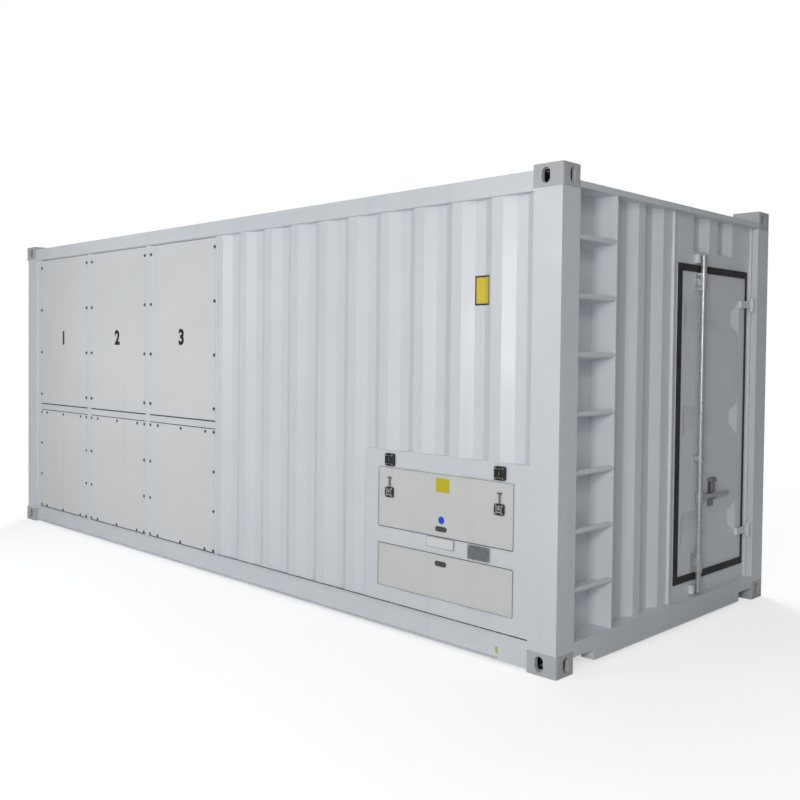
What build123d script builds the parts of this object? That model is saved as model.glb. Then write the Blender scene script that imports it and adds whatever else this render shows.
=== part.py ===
from build123d import *
import math
import os

# Generator load bank in a 20 ft freight container body.
# Millimetres. +X is the end with the ladder and the service door, -Y the side
# with the load covers and the control flaps, +Z up. The origin lies under the
# middle of the body, on the plane of the four bottom corner castings.

# ---- overall body -----------------------------------------------------------
length = 6058.0
width = 2438.0
height = 2591.0
fit = 0.3                 # gap between pieces of different bodies
pin_fit = 0.05            # radial running fit of a hinge pin or shaft

# ---- corner castings (ISO 1161) ----------------------------------------------
casting_l = 178.0
casting_w = 162.0
casting_h = 118.0
casting_wall = 28.0
casting_round = 14.0
lock_slot_l = 124.0
lock_slot_w = 63.5
lock_from_end = 102.5
lock_from_side = 89.5
lift_hole_h = 79.5
lift_hole_w = 51.0

# ---- corner posts and rails ----------------------------------------------------
frame_setback = 3.0       # posts and rails behind the casting faces
rear_setback = 28.0       # rear posts stand further back for the door hinges
post_wall = 6.0
top_rail_w = 60.0
top_rail_h = 103.0
top_rail_drop = 27.0      # top of the side rails under the casting tops
rail_wall = 4.0
bottom_rail_low = 15.0
bottom_rail_high = 155.0
bottom_web_in = 30.0      # web of the bottom rail behind its flange edge
bottom_flange = 56.0
plate = 6.0

# ---- end headers and sills ------------------------------------------------------
header_drop = 77.0        # top of the front header under the casting tops
header_h = 32.0
header_depth = 186.0
sill_low = 25.0
sill_high = 158.0
sill_notch_w = 193.0
sill_notch_top = 82.0
sill_flange = 80.0

# ---- floor -----------------------------------------------------------------------
cross_member_count = 13
cross_member_w = 45.0
cross_member_low = 33.0
cross_member_wall = 5.0
floor_thick = 28.0
floor_gap = 8.0

# ---- corrugated walls ----------------------------------------------------------------
sheet = 3.0
wall_recess = 20.0        # outer crests behind the casting faces
wave_depth = 36.0
wave_outer = 72.0
wave_slope = 68.0
wave_inner = 70.0

# ---- ladder end -------------------------------------------------------------------------
lintel_outer = 115.0      # crest of the wider corrugations over the door
end_recess = 54.0         # end wall crests behind the casting faces
ladder_width = 367.0
ladder_depth = 151.0
stile_front = 7.0         # ladder stile plate behind the casting faces
rung_first = 420.0
rung_pitch = 302.5
rung_r = 15.0
rung_shelf = 95.0
rung_shelf_thick = 5.0
jamb_w = 78.0             # door frame beside the opening

# ---- service door -----------------------------------------------------------------------
door_post_gap = 57.0      # door opening beside the corner post
door_w = 942.0
door_sill_gap = 92.0
door_lintel_gap = 83.0
door_gap = 2.0
door_thick = 48.0
door_skin = 6.0
leaf_pin_gap = 12.0       # leaf short of the opening at the hinge side
gasket_w = 45.0
gasket_pin_w = 14.0
gasket_proud = 8.0
lintel_h = 212.0          # corrugated strip over the door frame
pressing_from_low = 222.0
pressing_from_high = 415.0
pressing_h = 208.0
pressing_depth = 26.0
pressing_in_left = 92.0
pressing_in_right = 110.0
pressing_draft = 67.0     # wall angle of a pressing, degrees
hinge_from_low = 225.0
hinge_from_high = 217.0
hinge_pin_r = 8.0
knuckle_r = 15.0
knuckle_h = 46.0
lug_h = 22.0
door_pin_out = 24.0       # hinge pin behind the casting faces
door_pin_post_gap = 33.0
strap_l = 118.0
strap_h = 64.0
strap_thick = 8.0

# ---- door lock bar ------------------------------------------------------------------------
bar_r = 17.0
bar_in = 277.0            # bar axis beside the door edge
bar_under = 78.0
bar_over = 57.0
bar_out = 24.0            # bar axis behind the casting faces
cam_w = 20.0
cam_reach = 26.0
cam_h = 34.0
keeper_w = 120.0
keeper_h = 52.0
keeper_out = 26.0
keeper_cheek = 26.0
bracket_w = 130.0
bracket_from_low = 48.0
bracket_low_h = 120.0
bracket_from_high = 50.0
bracket_high_h = 105.0
guide_z = 1000.0
guide_h = 34.0
handle_z = 757.0
handle_l = 385.0
handle_h = 26.0
handle_thick = 8.0
hub_h = 70.0
hub_wall = 6.0
hasp_from_bar = 190.0
hasp_w = 70.0
hasp_low = 790.0
hasp_h = 75.0

# ---- load covers ---------------------------------------------------------------------------
cover_count = 3
cover_w = 892.0
cover_pitch = 960.0
cover_margin = 99.0       # frame between the last cover and the rear post
cover_wall_gap = 36.0     # frame between the first cover and the corrugated wall
cover_thick = 4.0
cover_lap = 38.0
cover_top_gap = 11.0
cover_mid_gap = 65.0
cover_bottom_gap = 7.0
lower_cover_h = 898.0
frame_plate = 6.0
mullion_w = 50.0
mullion_d = 44.0
cover_rim = 14.0
rim_gap = 3.0
bolt_edge = 13.0
upper_bolt_rows = 4
upper_bolt_from_low = 84.0
upper_bolt_from_high = 67.0
upper_bolt_flats = 19.0
bolt_head = 5.0
rib_w = 16.0
rib_proud = 4.0

# ---- load modules ------------------------------------------------------------------------------
module_wall = 4.0
module_wall_gap = 10.0    # partitions stay clear of the far wall
louvre_blades = 9
louvre_depth = 55.0
louvre_tilt = 40.0
fan_z = 640.0
fan_r = 372.0
fan_tip_gap = 8.0
fan_ring_h = 120.0
fan_blades = 6
hub_r = 80.0
fan_hub_h = 70.0
motor_r = 95.0
motor_h = 210.0
shaft_r = 14.0
shaft_l = 90.0
arm_w = 40.0
element_tiers = 4
element_rows = 8
element_first = 1230.0
element_pitch = 290.0
element_h = 46.0
element_t = 12.0
rack_in = 200.0           # racks inside the edge of the partitions
rack_low = 1120.0
rack_drop = 140.0

# ---- roof ---------------------------------------------------------------------------------------
roof_drop = 51.0
roof_wave = 18.0
roof_wave_count = 12
exhaust_l = 780.0
exhaust_in = 100.0        # exhaust opening inside the racks
curb = 14.0
curb_wall = 5.0
hatch_thick = 4.0
hatch_gap = 4.0
grille_bars = 12
hatch_pin_r = 5.0
hatch_knuckle_r = 9.0
hatch_knuckle_h = 60.0

# ---- control flaps ----------------------------------------------------------------------------------
control_w = 1216.0
control_high = 1058.0
box_depth = 320.0
flap_post_gap = 106.0
flap_w = 991.0
upper_flap_low = 606.0
upper_flap_high = 956.0
lower_flap_low = 254.0
lower_flap_high = 503.0
flap_lap = 14.0
flap_thick = 4.0
flap_rim = 12.0
flap_hinge_r = 5.0
flap_pin_r = 2.5
flap_roll_l = 200.0
flap_roll_in = 160.0
latch_in = 90.0
keeper_block_w = 72.0
keeper_block_low = 966.0
keeper_block_high = 1040.0
keeper_block_t = 19.0
latch_box_w = 62.0
latch_box_low = 782.0
latch_box_high = 842.0
latch_box_t = 13.0
tee_top = 902.0
tee_head_w = 27.0
tee_head_h = 9.0
tee_stem_r = 5.0
flush_in = 490.0
flush_w = 93.0
flush_h = 38.0
flush_up = 42.0           # upper handle over the lower edge of its flap
flush_down = 51.0         # lower handle under the upper edge of its flap
flush_depth = 9.0
paddle_t = 3.0
paddle_gap = 12.0
paddle_pin_up = 10.0
paddle_pin_r = 3.0
paddle_pin_l = 82.0

# ---- control panel ----------------------------------------------------------------------------------
panel_back = 70.0         # instrument panel behind the control frame face
panel_thick = 4.0
meter_size = 96.0
meter_count = 4
estop_r = 20.0
estop_travel = 4.0
switch_r = 14.0
switch_travel = 45.0
busbar_count = 4
busbar_w = 60.0
busbar_t = 10.0
busbar_l = 150.0
busbar_up = 48.0
busbar_pitch = 180.0
busbar_back = 60.0
estop_in = 170.0
switch_in = 290.0
controls_up = 120.0

# ---- cargo doors at the rear end --------------------------------------------------------------------
rear_gap = 6.0
rear_thick = 50.0
rear_sill_gap = 8.0
rear_rail_gap = 6.0
rear_hinge_count = 4
rear_hinge_in = 254.0
rear_pin_in = 69.0        # hinge pins behind the casting sides
rear_bar_y = 300.0
rear_pin_out = 14.0
rear_door_face = 37.0     # outer skin behind the casting faces

# ---- positions worked out from the sizes -------------------------------------------------------------
half_l = length / 2
half_w = width / 2
post_in_x = half_l - casting_l
post_in_y = half_w - casting_w
frame_x = half_l - frame_setback
frame_y = half_w - frame_setback
wall_y = half_w - wall_recess
cover_y = wall_y
control_y = wall_y
end_x = half_l - end_recess
floor_top = bottom_rail_high + floor_thick
top_rail_high = height - top_rail_drop
top_rail_low = top_rail_high - top_rail_h
header_high = height - header_drop
header_low = header_high - header_h
roof_z = height - roof_drop
wave_pitch = 2 * wave_slope + wave_inner + wave_outer
door_right = post_in_y - door_post_gap
door_left = door_right - door_w
door_low = sill_high + door_sill_gap
lintel_high = header_low - lintel_h
door_high = lintel_high - door_lintel_gap
jamb_left = door_left - jamb_w
pressing_lows = (door_low + pressing_from_low,
                 (door_low + pressing_from_low + door_high - pressing_from_high) / 2,
                 door_high - pressing_from_high)
pressing_left = door_left + pressing_in_left
pressing_right = door_right - pressing_in_right
hinge_zs = (door_low + hinge_from_low, door_high - hinge_from_high)
door_pin_y = post_in_y - door_pin_post_gap
bar_y = door_left + bar_in
bar_low = door_low - bar_under
bar_high = door_high + bar_over
bracket_hs = ((door_low + bracket_from_low, door_low + bracket_from_low + bracket_low_h),
              (door_high - bracket_from_high - bracket_high_h, door_high - bracket_from_high))
hasp_y = bar_y + hasp_from_bar
rung_count = int((header_low - rung_first) // rung_pitch) + 1
lower_low = bottom_rail_high + cover_bottom_gap
lower_high = lower_low + lower_cover_h
upper_low = lower_high + cover_mid_gap
upper_high = top_rail_low - cover_top_gap
cover_right = -post_in_x + cover_margin + (cover_count - 1) * cover_pitch + cover_w
wall_left = cover_right + cover_wall_gap
module_back = wall_y - wave_depth - sheet - module_wall_gap
rack_half = module_back - rack_in
rack_high = roof_z - rack_drop
exhaust_w = 2 * (rack_half - exhaust_in)
control_right = post_in_x
control_left = control_right - control_w
flap_right = control_right - flap_post_gap
flap_left = flap_right - flap_w
latch_xs = (flap_left + latch_in, flap_right - latch_in)
flush_x = flap_left + flush_in
flush_zs = (upper_flap_low + flush_up, lower_flap_high - flush_down)
rear_low = sill_high + rear_sill_gap
rear_high = top_rail_low - rear_rail_gap
rear_hinge_step = (rear_high - rear_low - 2 * rear_hinge_in) / (rear_hinge_count - 1)
rear_hinge_zs = [rear_low + rear_hinge_in + k * rear_hinge_step for k in range(rear_hinge_count)]
rear_pin_y = half_w - rear_pin_in
front_low_x = half_l - frame_setback - header_depth
rear_low_x = half_l - rear_setback - header_depth
floor_half = frame_y - bottom_web_in - bottom_flange - floor_gap

os.makedirs("parts", exist_ok=True)


def finish(group, node):
    """Label a finished piece and write it."""
    group.part.label = node
    export_step(group.part, f"parts/{node}.step")


def block(x0, x1, y0, y1, z0, z1, mode=Mode.ADD):
    """A box between two values on each axis, added to the open part."""
    with Locations(((x0 + x1) / 2, (y0 + y1) / 2, (z0 + z1) / 2)):
        Box(abs(x1 - x0), abs(y1 - y0), abs(z1 - z0), mode=mode)


def wave_points(start, end, first, count, outer):
    """Outer trace of a corrugated sheet: (along, inward) from start to end, its troughs from first on."""
    points = [(start, 0.0)]
    for k in range(count):
        a = first + k * (2 * wave_slope + wave_inner + outer)
        points.append((a, 0.0))
        points.append((a + wave_slope, wave_depth))
        points.append((a + wave_slope + wave_inner, wave_depth))
        points.append((a + 2 * wave_slope + wave_inner, 0.0))
    points.append((end, 0.0))
    return [p for n, p in enumerate(points) if n == 0 or p != points[n - 1]]


def centred_waves(start, end, outer):
    """The same trace with as many troughs as fit, set in the middle."""
    pitch = 2 * wave_slope + wave_inner + outer
    count = int((end - start - outer) // pitch)
    return wave_points(start, end, (start + end - count * pitch + outer) / 2, count, outer)


# ---- container frame ----------------------------------------------------------------------------------

def corner_castings():
    with BuildPart() as castings:
        x_in = half_l - casting_l
        y_in = half_w - casting_w
        block(x_in, half_l, -half_w, -y_in, 0, casting_h)
        fillet(castings.edges().filter_by(Axis.Z).sort_by(Axis.X)[-2:], casting_round)
        block(x_in + casting_wall, half_l - casting_wall, -half_w + casting_wall,
              -y_in - casting_wall, casting_wall, casting_h - casting_wall, Mode.SUBTRACT)
        with BuildSketch(Plane.XY):
            with Locations((half_l - lock_from_end, -half_w + lock_from_side)):
                SlotOverall(lock_slot_l, lock_slot_w)
        extrude(amount=casting_wall, mode=Mode.SUBTRACT)
        side = Plane((half_l - lock_from_end, -half_w, casting_h / 2), x_dir=(0, 0, 1), z_dir=(0, 1, 0))
        with BuildSketch(side):
            SlotOverall(lift_hole_h, lift_hole_w)
        extrude(amount=casting_wall, mode=Mode.SUBTRACT)
        end = Plane((half_l, -half_w + lock_from_side, casting_h / 2), x_dir=(0, 0, 1), z_dir=(-1, 0, 0))
        with BuildSketch(end):
            SlotOverall(lift_hole_h, lift_hole_w)
        extrude(amount=casting_wall, mode=Mode.SUBTRACT)
        mirror(about=Plane.YZ)
        mirror(about=Plane.XZ)
        mirror(about=Plane.XY.offset(height / 2))
    finish(castings, "corner_castings")


def corner_posts():
    with BuildPart() as posts:
        with BuildSketch(Plane.XY.offset(casting_h)):
            for x_out in (frame_x, -(half_l - rear_setback)):
                x_in = math.copysign(post_in_x, x_out)
                with Locations(((x_out + x_in) / 2, -(frame_y + post_in_y) / 2)):
                    Rectangle(abs(x_out - x_in), casting_w - frame_setback)
                    Rectangle(abs(x_out - x_in) - 2 * post_wall,
                              casting_w - frame_setback - 2 * post_wall, mode=Mode.SUBTRACT)
        extrude(amount=height - 2 * casting_h)
        # hinge lugs of the cargo doors on the rear posts
        rear = -(half_l - rear_setback)
        pin_x = -(half_l - rear_pin_out)
        for z in rear_hinge_zs:
            for low in (z - knuckle_h / 2 - lug_h, z + knuckle_h / 2):
                block(pin_x, rear, -rear_pin_y - knuckle_r, -rear_pin_y + knuckle_r, low + fit, low + lug_h - fit)
                with Locations((pin_x, -rear_pin_y, low + lug_h / 2)):
                    Cylinder(knuckle_r - 2, lug_h - 2 * fit)
                    Cylinder(hinge_pin_r + pin_fit, 2 * lug_h, mode=Mode.SUBTRACT)
        mirror(about=Plane.XZ)
    finish(posts, "corner_posts")


def top_side_rails():
    with BuildPart() as rails:
        with BuildSketch(Plane.YZ.offset(-post_in_x)):
            with Locations((-frame_y + top_rail_w / 2, (top_rail_low + top_rail_high) / 2)):
                Rectangle(top_rail_w, top_rail_high - top_rail_low)
                Rectangle(top_rail_w - 2 * rail_wall, top_rail_high - top_rail_low - 2 * rail_wall,
                          mode=Mode.SUBTRACT)
        extrude(amount=2 * post_in_x)
        mirror(about=Plane.XZ)
    finish(rails, "top_side_rails")


def bottom_side_rails():
    with BuildPart() as rails:
        web = -frame_y + bottom_web_in
        with BuildSketch(Plane.YZ.offset(-post_in_x)):
            with BuildLine():
                Polyline((-frame_y, bottom_rail_low), (web + plate, bottom_rail_low),
                         (web + plate, bottom_rail_high - plate), (web + bottom_flange, bottom_rail_high - plate),
                         (web + bottom_flange, bottom_rail_high), (-frame_y + plate, bottom_rail_high),
                         (-frame_y + plate, bottom_rail_high - plate), (web, bottom_rail_high - plate),
                         (web, bottom_rail_low + plate), (-frame_y, bottom_rail_low + plate), close=True)
            make_face()
        extrude(amount=2 * post_in_x)
        # doubler plate beside the near casting
        block(post_in_x - 190, post_in_x, -frame_y, web, bottom_rail_low + plate, bottom_rail_high - plate)
        mirror(about=Plane.XZ)
    finish(rails, "bottom_side_rails")


def end_headers():
    with BuildPart() as headers:
        with BuildSketch(Plane.XZ.offset(-post_in_y)):
            with BuildLine():
                Polyline((frame_x, header_low), (frame_x, header_high), (front_low_x + plate, header_high),
                         (front_low_x + plate, top_rail_high), (front_low_x, top_rail_high),
                         (front_low_x, header_low), close=True)
            make_face()
            with Locations(((frame_x + front_low_x + plate) / 2, (header_low + header_high) / 2)):
                Rectangle(header_depth - plate - 2 * rail_wall, header_high - header_low - 2 * rail_wall,
                          mode=Mode.SUBTRACT)
            rear_x = -(half_l - rear_setback)
            depth = casting_l - rear_setback
            with Locations((rear_x + depth / 2, (top_rail_low + top_rail_high) / 2)):
                Rectangle(depth, top_rail_high - top_rail_low)
                Rectangle(depth - 2 * rail_wall, top_rail_high - top_rail_low - 2 * rail_wall,
                          mode=Mode.SUBTRACT)
        extrude(amount=2 * post_in_y)
    finish(headers, "end_headers")


def end_sills():
    with BuildPart() as sills:
        for x_out in (frame_x, -(half_l - rear_setback)):
            inward = -math.copysign(1, x_out)
            back = x_out + inward * header_depth
            with BuildSketch(Plane.XZ.offset(-post_in_y)):
                with BuildLine():
                    Polyline((x_out, sill_low), (x_out, sill_high), (back, sill_high),
                             (back, sill_high - plate), (x_out + inward * plate, sill_high - plate),
                             (x_out + inward * plate, sill_low + plate),
                             (x_out + inward * sill_flange, sill_low + plate),
                             (x_out + inward * sill_flange, sill_low), close=True)
                make_face()
            extrude(amount=2 * post_in_y)
        # lashing notches beside the castings, with a stepped lower flange
        notch = post_in_y - sill_notch_w
        for side in (-1, 1):
            block(post_in_x, half_l, side * notch, side * post_in_y, sill_low, sill_notch_top, Mode.SUBTRACT)
            block(frame_x - sill_flange, frame_x - plate, side * notch, side * post_in_y,
                  sill_notch_top, sill_notch_top + plate)
            block(frame_x - sill_flange, frame_x - plate, side * notch, side * (notch - plate),
                  sill_low + plate, sill_high - plate)
    finish(sills, "end_sills")


def cross_members():
    span = frame_y - bottom_web_in - plate
    high = bottom_rail_high
    reach = frame_x - header_depth - 60
    with BuildPart() as members:
        with BuildSketch(Plane.XZ.offset(-span)):
            with Locations((0, (cross_member_low + high) / 2)):
                with GridLocations(2 * reach / (cross_member_count - 1), 1, cross_member_count, 1):
                    Rectangle(cross_member_w, high - cross_member_low - 2 * plate)
                with Locations((cross_member_wall, 0)):
                    with GridLocations(2 * reach / (cross_member_count - 1), 1, cross_member_count, 1):
                        Rectangle(cross_member_w, high - cross_member_low - 2 * plate - 2 * cross_member_wall,
                                  mode=Mode.SUBTRACT)
        extrude(amount=2 * span)
    finish(members, "cross_members")


def floor_deck():
    low = bottom_rail_high - plate
    with BuildPart() as deck:
        block(-rear_low_x + floor_gap, front_low_x - floor_gap, -floor_half, floor_half, low, floor_top)
        chamfer(deck.edges().group_by(Axis.Z)[-1], 2)
    finish(deck, "floor_deck")


# ---- walls ---------------------------------------------------------------------------------------------

def side_wall():
    count = int((post_in_x - wall_left) // wave_pitch)
    count += 1 if (post_in_x - wall_left) % wave_pitch > wave_pitch - wave_outer else 0
    outer = wave_points(wall_left, post_in_x, post_in_x - count * wave_pitch + wave_outer, count, wave_outer)
    with BuildPart() as wall:
        with BuildSketch(Plane.XY.offset(bottom_rail_high)):
            with BuildLine():
                face = [(a, -wall_y + d) for a, d in outer]
                back = [(a, -wall_y + d + sheet) for a, d in reversed(outer)]
                Polyline(*face, *back, close=True)
            make_face()
        extrude(amount=top_rail_low - bottom_rail_high)
        block(control_left, control_right + 1, -half_w, -wall_y + wave_depth + 2 * sheet,
              bottom_rail_high, control_high, Mode.SUBTRACT)
    finish(wall, "side_wall")


def far_side_wall():
    outer = centred_waves(-post_in_x, post_in_x, wave_outer)
    with BuildPart() as wall:
        with BuildSketch(Plane.XY.offset(bottom_rail_high)):
            with BuildLine():
                face = [(a, wall_y - d) for a, d in outer]
                back = [(a, wall_y - d - sheet) for a, d in reversed(outer)]
                Polyline(*face, *back, close=True)
            make_face()
        extrude(amount=top_rail_low - bottom_rail_high)
    finish(wall, "far_side_wall")


def end_wall():
    stile_y = -post_in_y + ladder_width
    back_x = half_l - stile_front - ladder_depth
    flat = centred_waves(0, jamb_left - stile_y, wave_outer)
    with BuildPart() as wall:
        with BuildSketch(Plane.XY.offset(sill_high)):
            with BuildLine():
                face = [(end_x - d, stile_y + a) for a, d in flat]
                back = [(end_x - d - sheet, stile_y + a) for a, d in reversed(flat)]
                Polyline(*face, *back, close=True)
            make_face()
        extrude(amount=header_low - sill_high)
        block(back_x - sheet, back_x, -post_in_y, stile_y, sill_high, header_low)
        block(back_x - sheet, half_l - stile_front, stile_y - plate, stile_y, sill_high, header_low)
        # short corrugations over the service door
        lintel = centred_waves(jamb_left + 2 * rib_w, post_in_y - 2 * rib_w, lintel_outer)
        with BuildSketch(Plane.XY.offset(lintel_high)):
            with BuildLine():
                face = [(end_x - d, a) for a, d in lintel]
                back = [(end_x - d - sheet, a) for a, d in reversed(lintel)]
                Polyline(*face, *back, close=True)
            make_face()
        extrude(amount=header_low - lintel_high)
    finish(wall, "end_wall")


def ladder_rungs():
    stile_y = -post_in_y + ladder_width - plate
    back_x = half_l - stile_front - ladder_depth
    bar_x = half_l - stile_front - rung_r
    with BuildPart() as rungs:
        for k in range(rung_count):
            z = rung_first + k * rung_pitch
            with BuildSketch(Plane.XZ.offset(post_in_y)):
                with Locations((bar_x, z)):
                    Circle(rung_r)
                with BuildLine():
                    Polyline((bar_x, z - rung_r + rung_shelf_thick), (bar_x - rung_shelf, z - rung_r + rung_shelf_thick),
                             (back_x, z - 2 * rung_r), (back_x, z - 2 * rung_r - rung_shelf_thick),
                             (bar_x - rung_shelf, z - rung_r), (bar_x, z - rung_r), close=True)
                make_face()
            extrude(amount=-(stile_y + post_in_y))
    finish(rungs, "ladder_rungs")


def door_frame():
    back = end_x - sheet
    with BuildPart() as frame:
        with BuildSketch(Plane.YZ.offset(back)):
            with Locations(((jamb_left + post_in_y) / 2, (sill_high + lintel_high) / 2)):
                Rectangle(post_in_y - jamb_left, lintel_high - sill_high)
            with Locations(((door_left + door_right) / 2, (door_low + door_high) / 2)):
                Rectangle(door_right - door_left, door_high - door_low, mode=Mode.SUBTRACT)
        extrude(amount=sheet)
        # return lips around the opening
        with BuildSketch(Plane.YZ.offset(back)):
            with Locations(((door_left + door_right) / 2, (door_low + door_high) / 2)):
                Rectangle(door_right - door_left + 2 * plate, door_high - door_low + 2 * plate)
                Rectangle(door_right - door_left, door_high - door_low, mode=Mode.SUBTRACT)
        extrude(amount=-door_thick)
        # ribs along the jambs
        with BuildSketch(Plane.XY.offset(sill_high)):
            with Locations((end_x, jamb_left + rib_w), (end_x, post_in_y - rib_w)):
                SlotOverall(2 * rib_w, rib_w)
        extrude(amount=header_low - sill_high, mode=Mode.ADD)
        # keepers for the cams of the lock bar, open to the front
        for low in (bar_low - 4, bar_high - keeper_h + 4):
            for y in (bar_y - keeper_w / 2, bar_y + keeper_w / 2 - keeper_cheek):
                block(end_x, end_x + keeper_out, y, y + keeper_cheek, low, low + keeper_h)
        # hinge lugs
        pin_x = half_l - door_pin_out
        for z in hinge_zs:
            for low in (z - knuckle_h / 2 - lug_h, z + knuckle_h / 2):
                block(end_x, pin_x, door_pin_y - knuckle_r + 4, door_pin_y + knuckle_r, low + fit, low + lug_h - fit)
                with Locations((pin_x, door_pin_y, low + lug_h / 2)):
                    Cylinder(knuckle_r, lug_h - 2 * fit)
                    Cylinder(hinge_pin_r + pin_fit, 2 * lug_h, mode=Mode.SUBTRACT)
    finish(frame, "door_frame")


# ---- service door -----------------------------------------------------------------------------------------

def service_door():
    face = end_x + sheet
    left = door_left + door_gap
    right = door_right - leaf_pin_gap
    low = door_low + door_gap
    high = door_high - door_gap
    with BuildPart() as leaf:
        block(face - door_thick, face, left, right, low, high)
        block(face - door_thick, face - door_thick + 16, left + 30, right - 30, low + 30, high - 30, Mode.SUBTRACT)
        # three pressed recesses with sloping walls
        middle = (pressing_left + pressing_right) / 2
        with BuildSketch(Plane.YZ.offset(face)):
            for z in pressing_lows:
                with Locations((middle, z + pressing_h / 2)):
                    Rectangle(pressing_right - pressing_left, pressing_h)
        extrude(amount=-pressing_depth, taper=pressing_draft, mode=Mode.SUBTRACT)
    finish(leaf, "service_door")


def service_door_gasket():
    face = end_x + sheet
    left = door_left + door_gap
    right = door_right - leaf_pin_gap
    middle = (door_low + door_high) / 2
    with BuildPart() as gasket:
        with BuildSketch(Plane.YZ.offset(face)):
            with Locations(((left + right) / 2, middle)):
                RectangleRounded(right - left, door_high - door_low - 2 * door_gap, 4)
            with Locations(((left + gasket_w + right - gasket_pin_w) / 2, middle)):
                RectangleRounded(right - left - gasket_w - gasket_pin_w, door_high - door_low - 2 * gasket_w, 10,
                                 mode=Mode.SUBTRACT)
        extrude(amount=gasket_proud)
    finish(gasket, "service_door_gasket")


def service_door_hinges():
    """Straps with a knuckle each, bolted over the gasket to the leaf."""
    pin_x = half_l - door_pin_out
    face = end_x + sheet
    with BuildPart() as straps:
        for z in hinge_zs:
            block(face + gasket_proud + fit, face + gasket_proud + fit + strap_thick,
                  door_pin_y - strap_l - knuckle_r, door_pin_y, z - knuckle_h / 2 + fit, z + knuckle_h / 2 - fit)
            block(face, face + gasket_proud + fit, door_pin_y - strap_l - knuckle_r,
                  door_right - gasket_w - 26, z - knuckle_h / 2 + fit, z + knuckle_h / 2 - fit)
            with Locations((pin_x, door_pin_y, z)):
                Cylinder(knuckle_r, knuckle_h - 2 * fit)
                Cylinder(hinge_pin_r + pin_fit, knuckle_h, mode=Mode.SUBTRACT)
    finish(straps, "service_door_hinges")


def hinge_pins():
    """Fixed pins of the service door and of the cargo doors."""
    pin_h = knuckle_h + 2 * lug_h + 8
    with BuildPart() as pins:
        for z in hinge_zs:
            with Locations((half_l - door_pin_out, door_pin_y, z)):
                Cylinder(hinge_pin_r, pin_h)
        for z in rear_hinge_zs:
            with Locations((-(half_l - rear_pin_out), rear_pin_y, z), (-(half_l - rear_pin_out), -rear_pin_y, z)):
                Cylinder(hinge_pin_r, pin_h)
    finish(pins, "hinge_pins")


def lock_bar():
    bar_x = half_l - bar_out
    with BuildPart() as bar:
        with Locations((bar_x, bar_y, (bar_low + bar_high) / 2)):
            Cylinder(bar_r, bar_high - bar_low)
        for z in (bar_low, bar_high - cam_h):
            block(bar_x - cam_reach, bar_x, bar_y - cam_w / 2, bar_y + cam_w / 2, z, z + cam_h)
        # hub and lever of the handle
        with Locations((bar_x, bar_y, handle_z)):
            Cylinder(bar_r + hub_wall, hub_h)
        with BuildSketch(Plane.XY.offset(handle_z - handle_h / 2)):
            with BuildLine():
                Polyline((bar_x - handle_thick / 2, bar_y), (bar_x + handle_thick / 2, bar_y),
                         (bar_x + handle_thick, bar_y + 60), (bar_x + handle_thick, bar_y + handle_l),
                         (bar_x, bar_y + handle_l), (bar_x, bar_y + 60), close=True)
            make_face()
        extrude(amount=handle_h)
    finish(bar, "service_door_lock_bar")


def bar_brackets():
    """Bearing brackets and mid guide of the lock bar, bolted to the leaf."""
    face = end_x + sheet
    bar_x = half_l - bar_out
    cap = bar_r + hub_wall
    spans = list(bracket_hs) + [(guide_z - guide_h / 2, guide_z + guide_h / 2)]
    with BuildPart() as brackets:
        for low, high in spans:
            half = bracket_w / 2 if high - low > guide_h else bracket_w / 2.6
            block(face, face + strap_thick, bar_y - half, bar_y + half, low, high)
            with Locations((bar_x, bar_y, (low + high) / 2)):
                Cylinder(cap, high - low)
            block(face, bar_x, bar_y - cap, bar_y + cap, low, high)
            with Locations((bar_x, bar_y, (low + high) / 2)):
                Cylinder(bar_r + pin_fit, high - low + 2, mode=Mode.SUBTRACT)
    finish(brackets, "service_door_bar_brackets")


def handle_catch():
    """Open catch under the lever, bolted to the leaf."""
    face = end_x + sheet
    top = handle_z - handle_h / 2 - fit
    with BuildPart() as catch:
        block(face, face + 6, hasp_y - hasp_w / 2, hasp_y + hasp_w / 2, top - 60, hasp_low + hasp_h)
        block(face, half_l - bar_out + handle_thick, hasp_y - 20, hasp_y + 20, top - 12, top)
        for side in (-1, 1):
            block(face + 6, half_l - bar_out, hasp_y + side * (hasp_w / 2 - 8), hasp_y + side * hasp_w / 2,
                  hasp_low + hasp_h - 26, hasp_low + hasp_h)
    finish(catch, "handle_catch")


def handle_hasp():
    """Swinging hasp above the lever; its pin lies along Y."""
    pivot_x = half_l - bar_out - 8
    pivot_z = hasp_low + hasp_h - 13
    half = hasp_w / 2 - 8 - fit
    with BuildPart() as hasp:
        with Locations(Plane((pivot_x, hasp_y, pivot_z), z_dir=(0, 1, 0))):
            Cylinder(7, 2 * half)
        block(pivot_x - 2, pivot_x + 4, hasp_y - half, hasp_y + half, handle_z + handle_h / 2 + 4, pivot_z)
        with Locations(Plane((pivot_x, hasp_y, handle_z + handle_h / 2 + 18), z_dir=(1, 0, 0))):
            Cylinder(6, 30, mode=Mode.SUBTRACT)
    finish(hasp, "handle_hasp")


# ---- load covers --------------------------------------------------------------------------------------------

def cover_spans():
    """X range of each cover, from the one beside the side wall to the rear."""
    return [(cover_right - k * cover_pitch - cover_w, cover_right - k * cover_pitch) for k in range(cover_count)]


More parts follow.
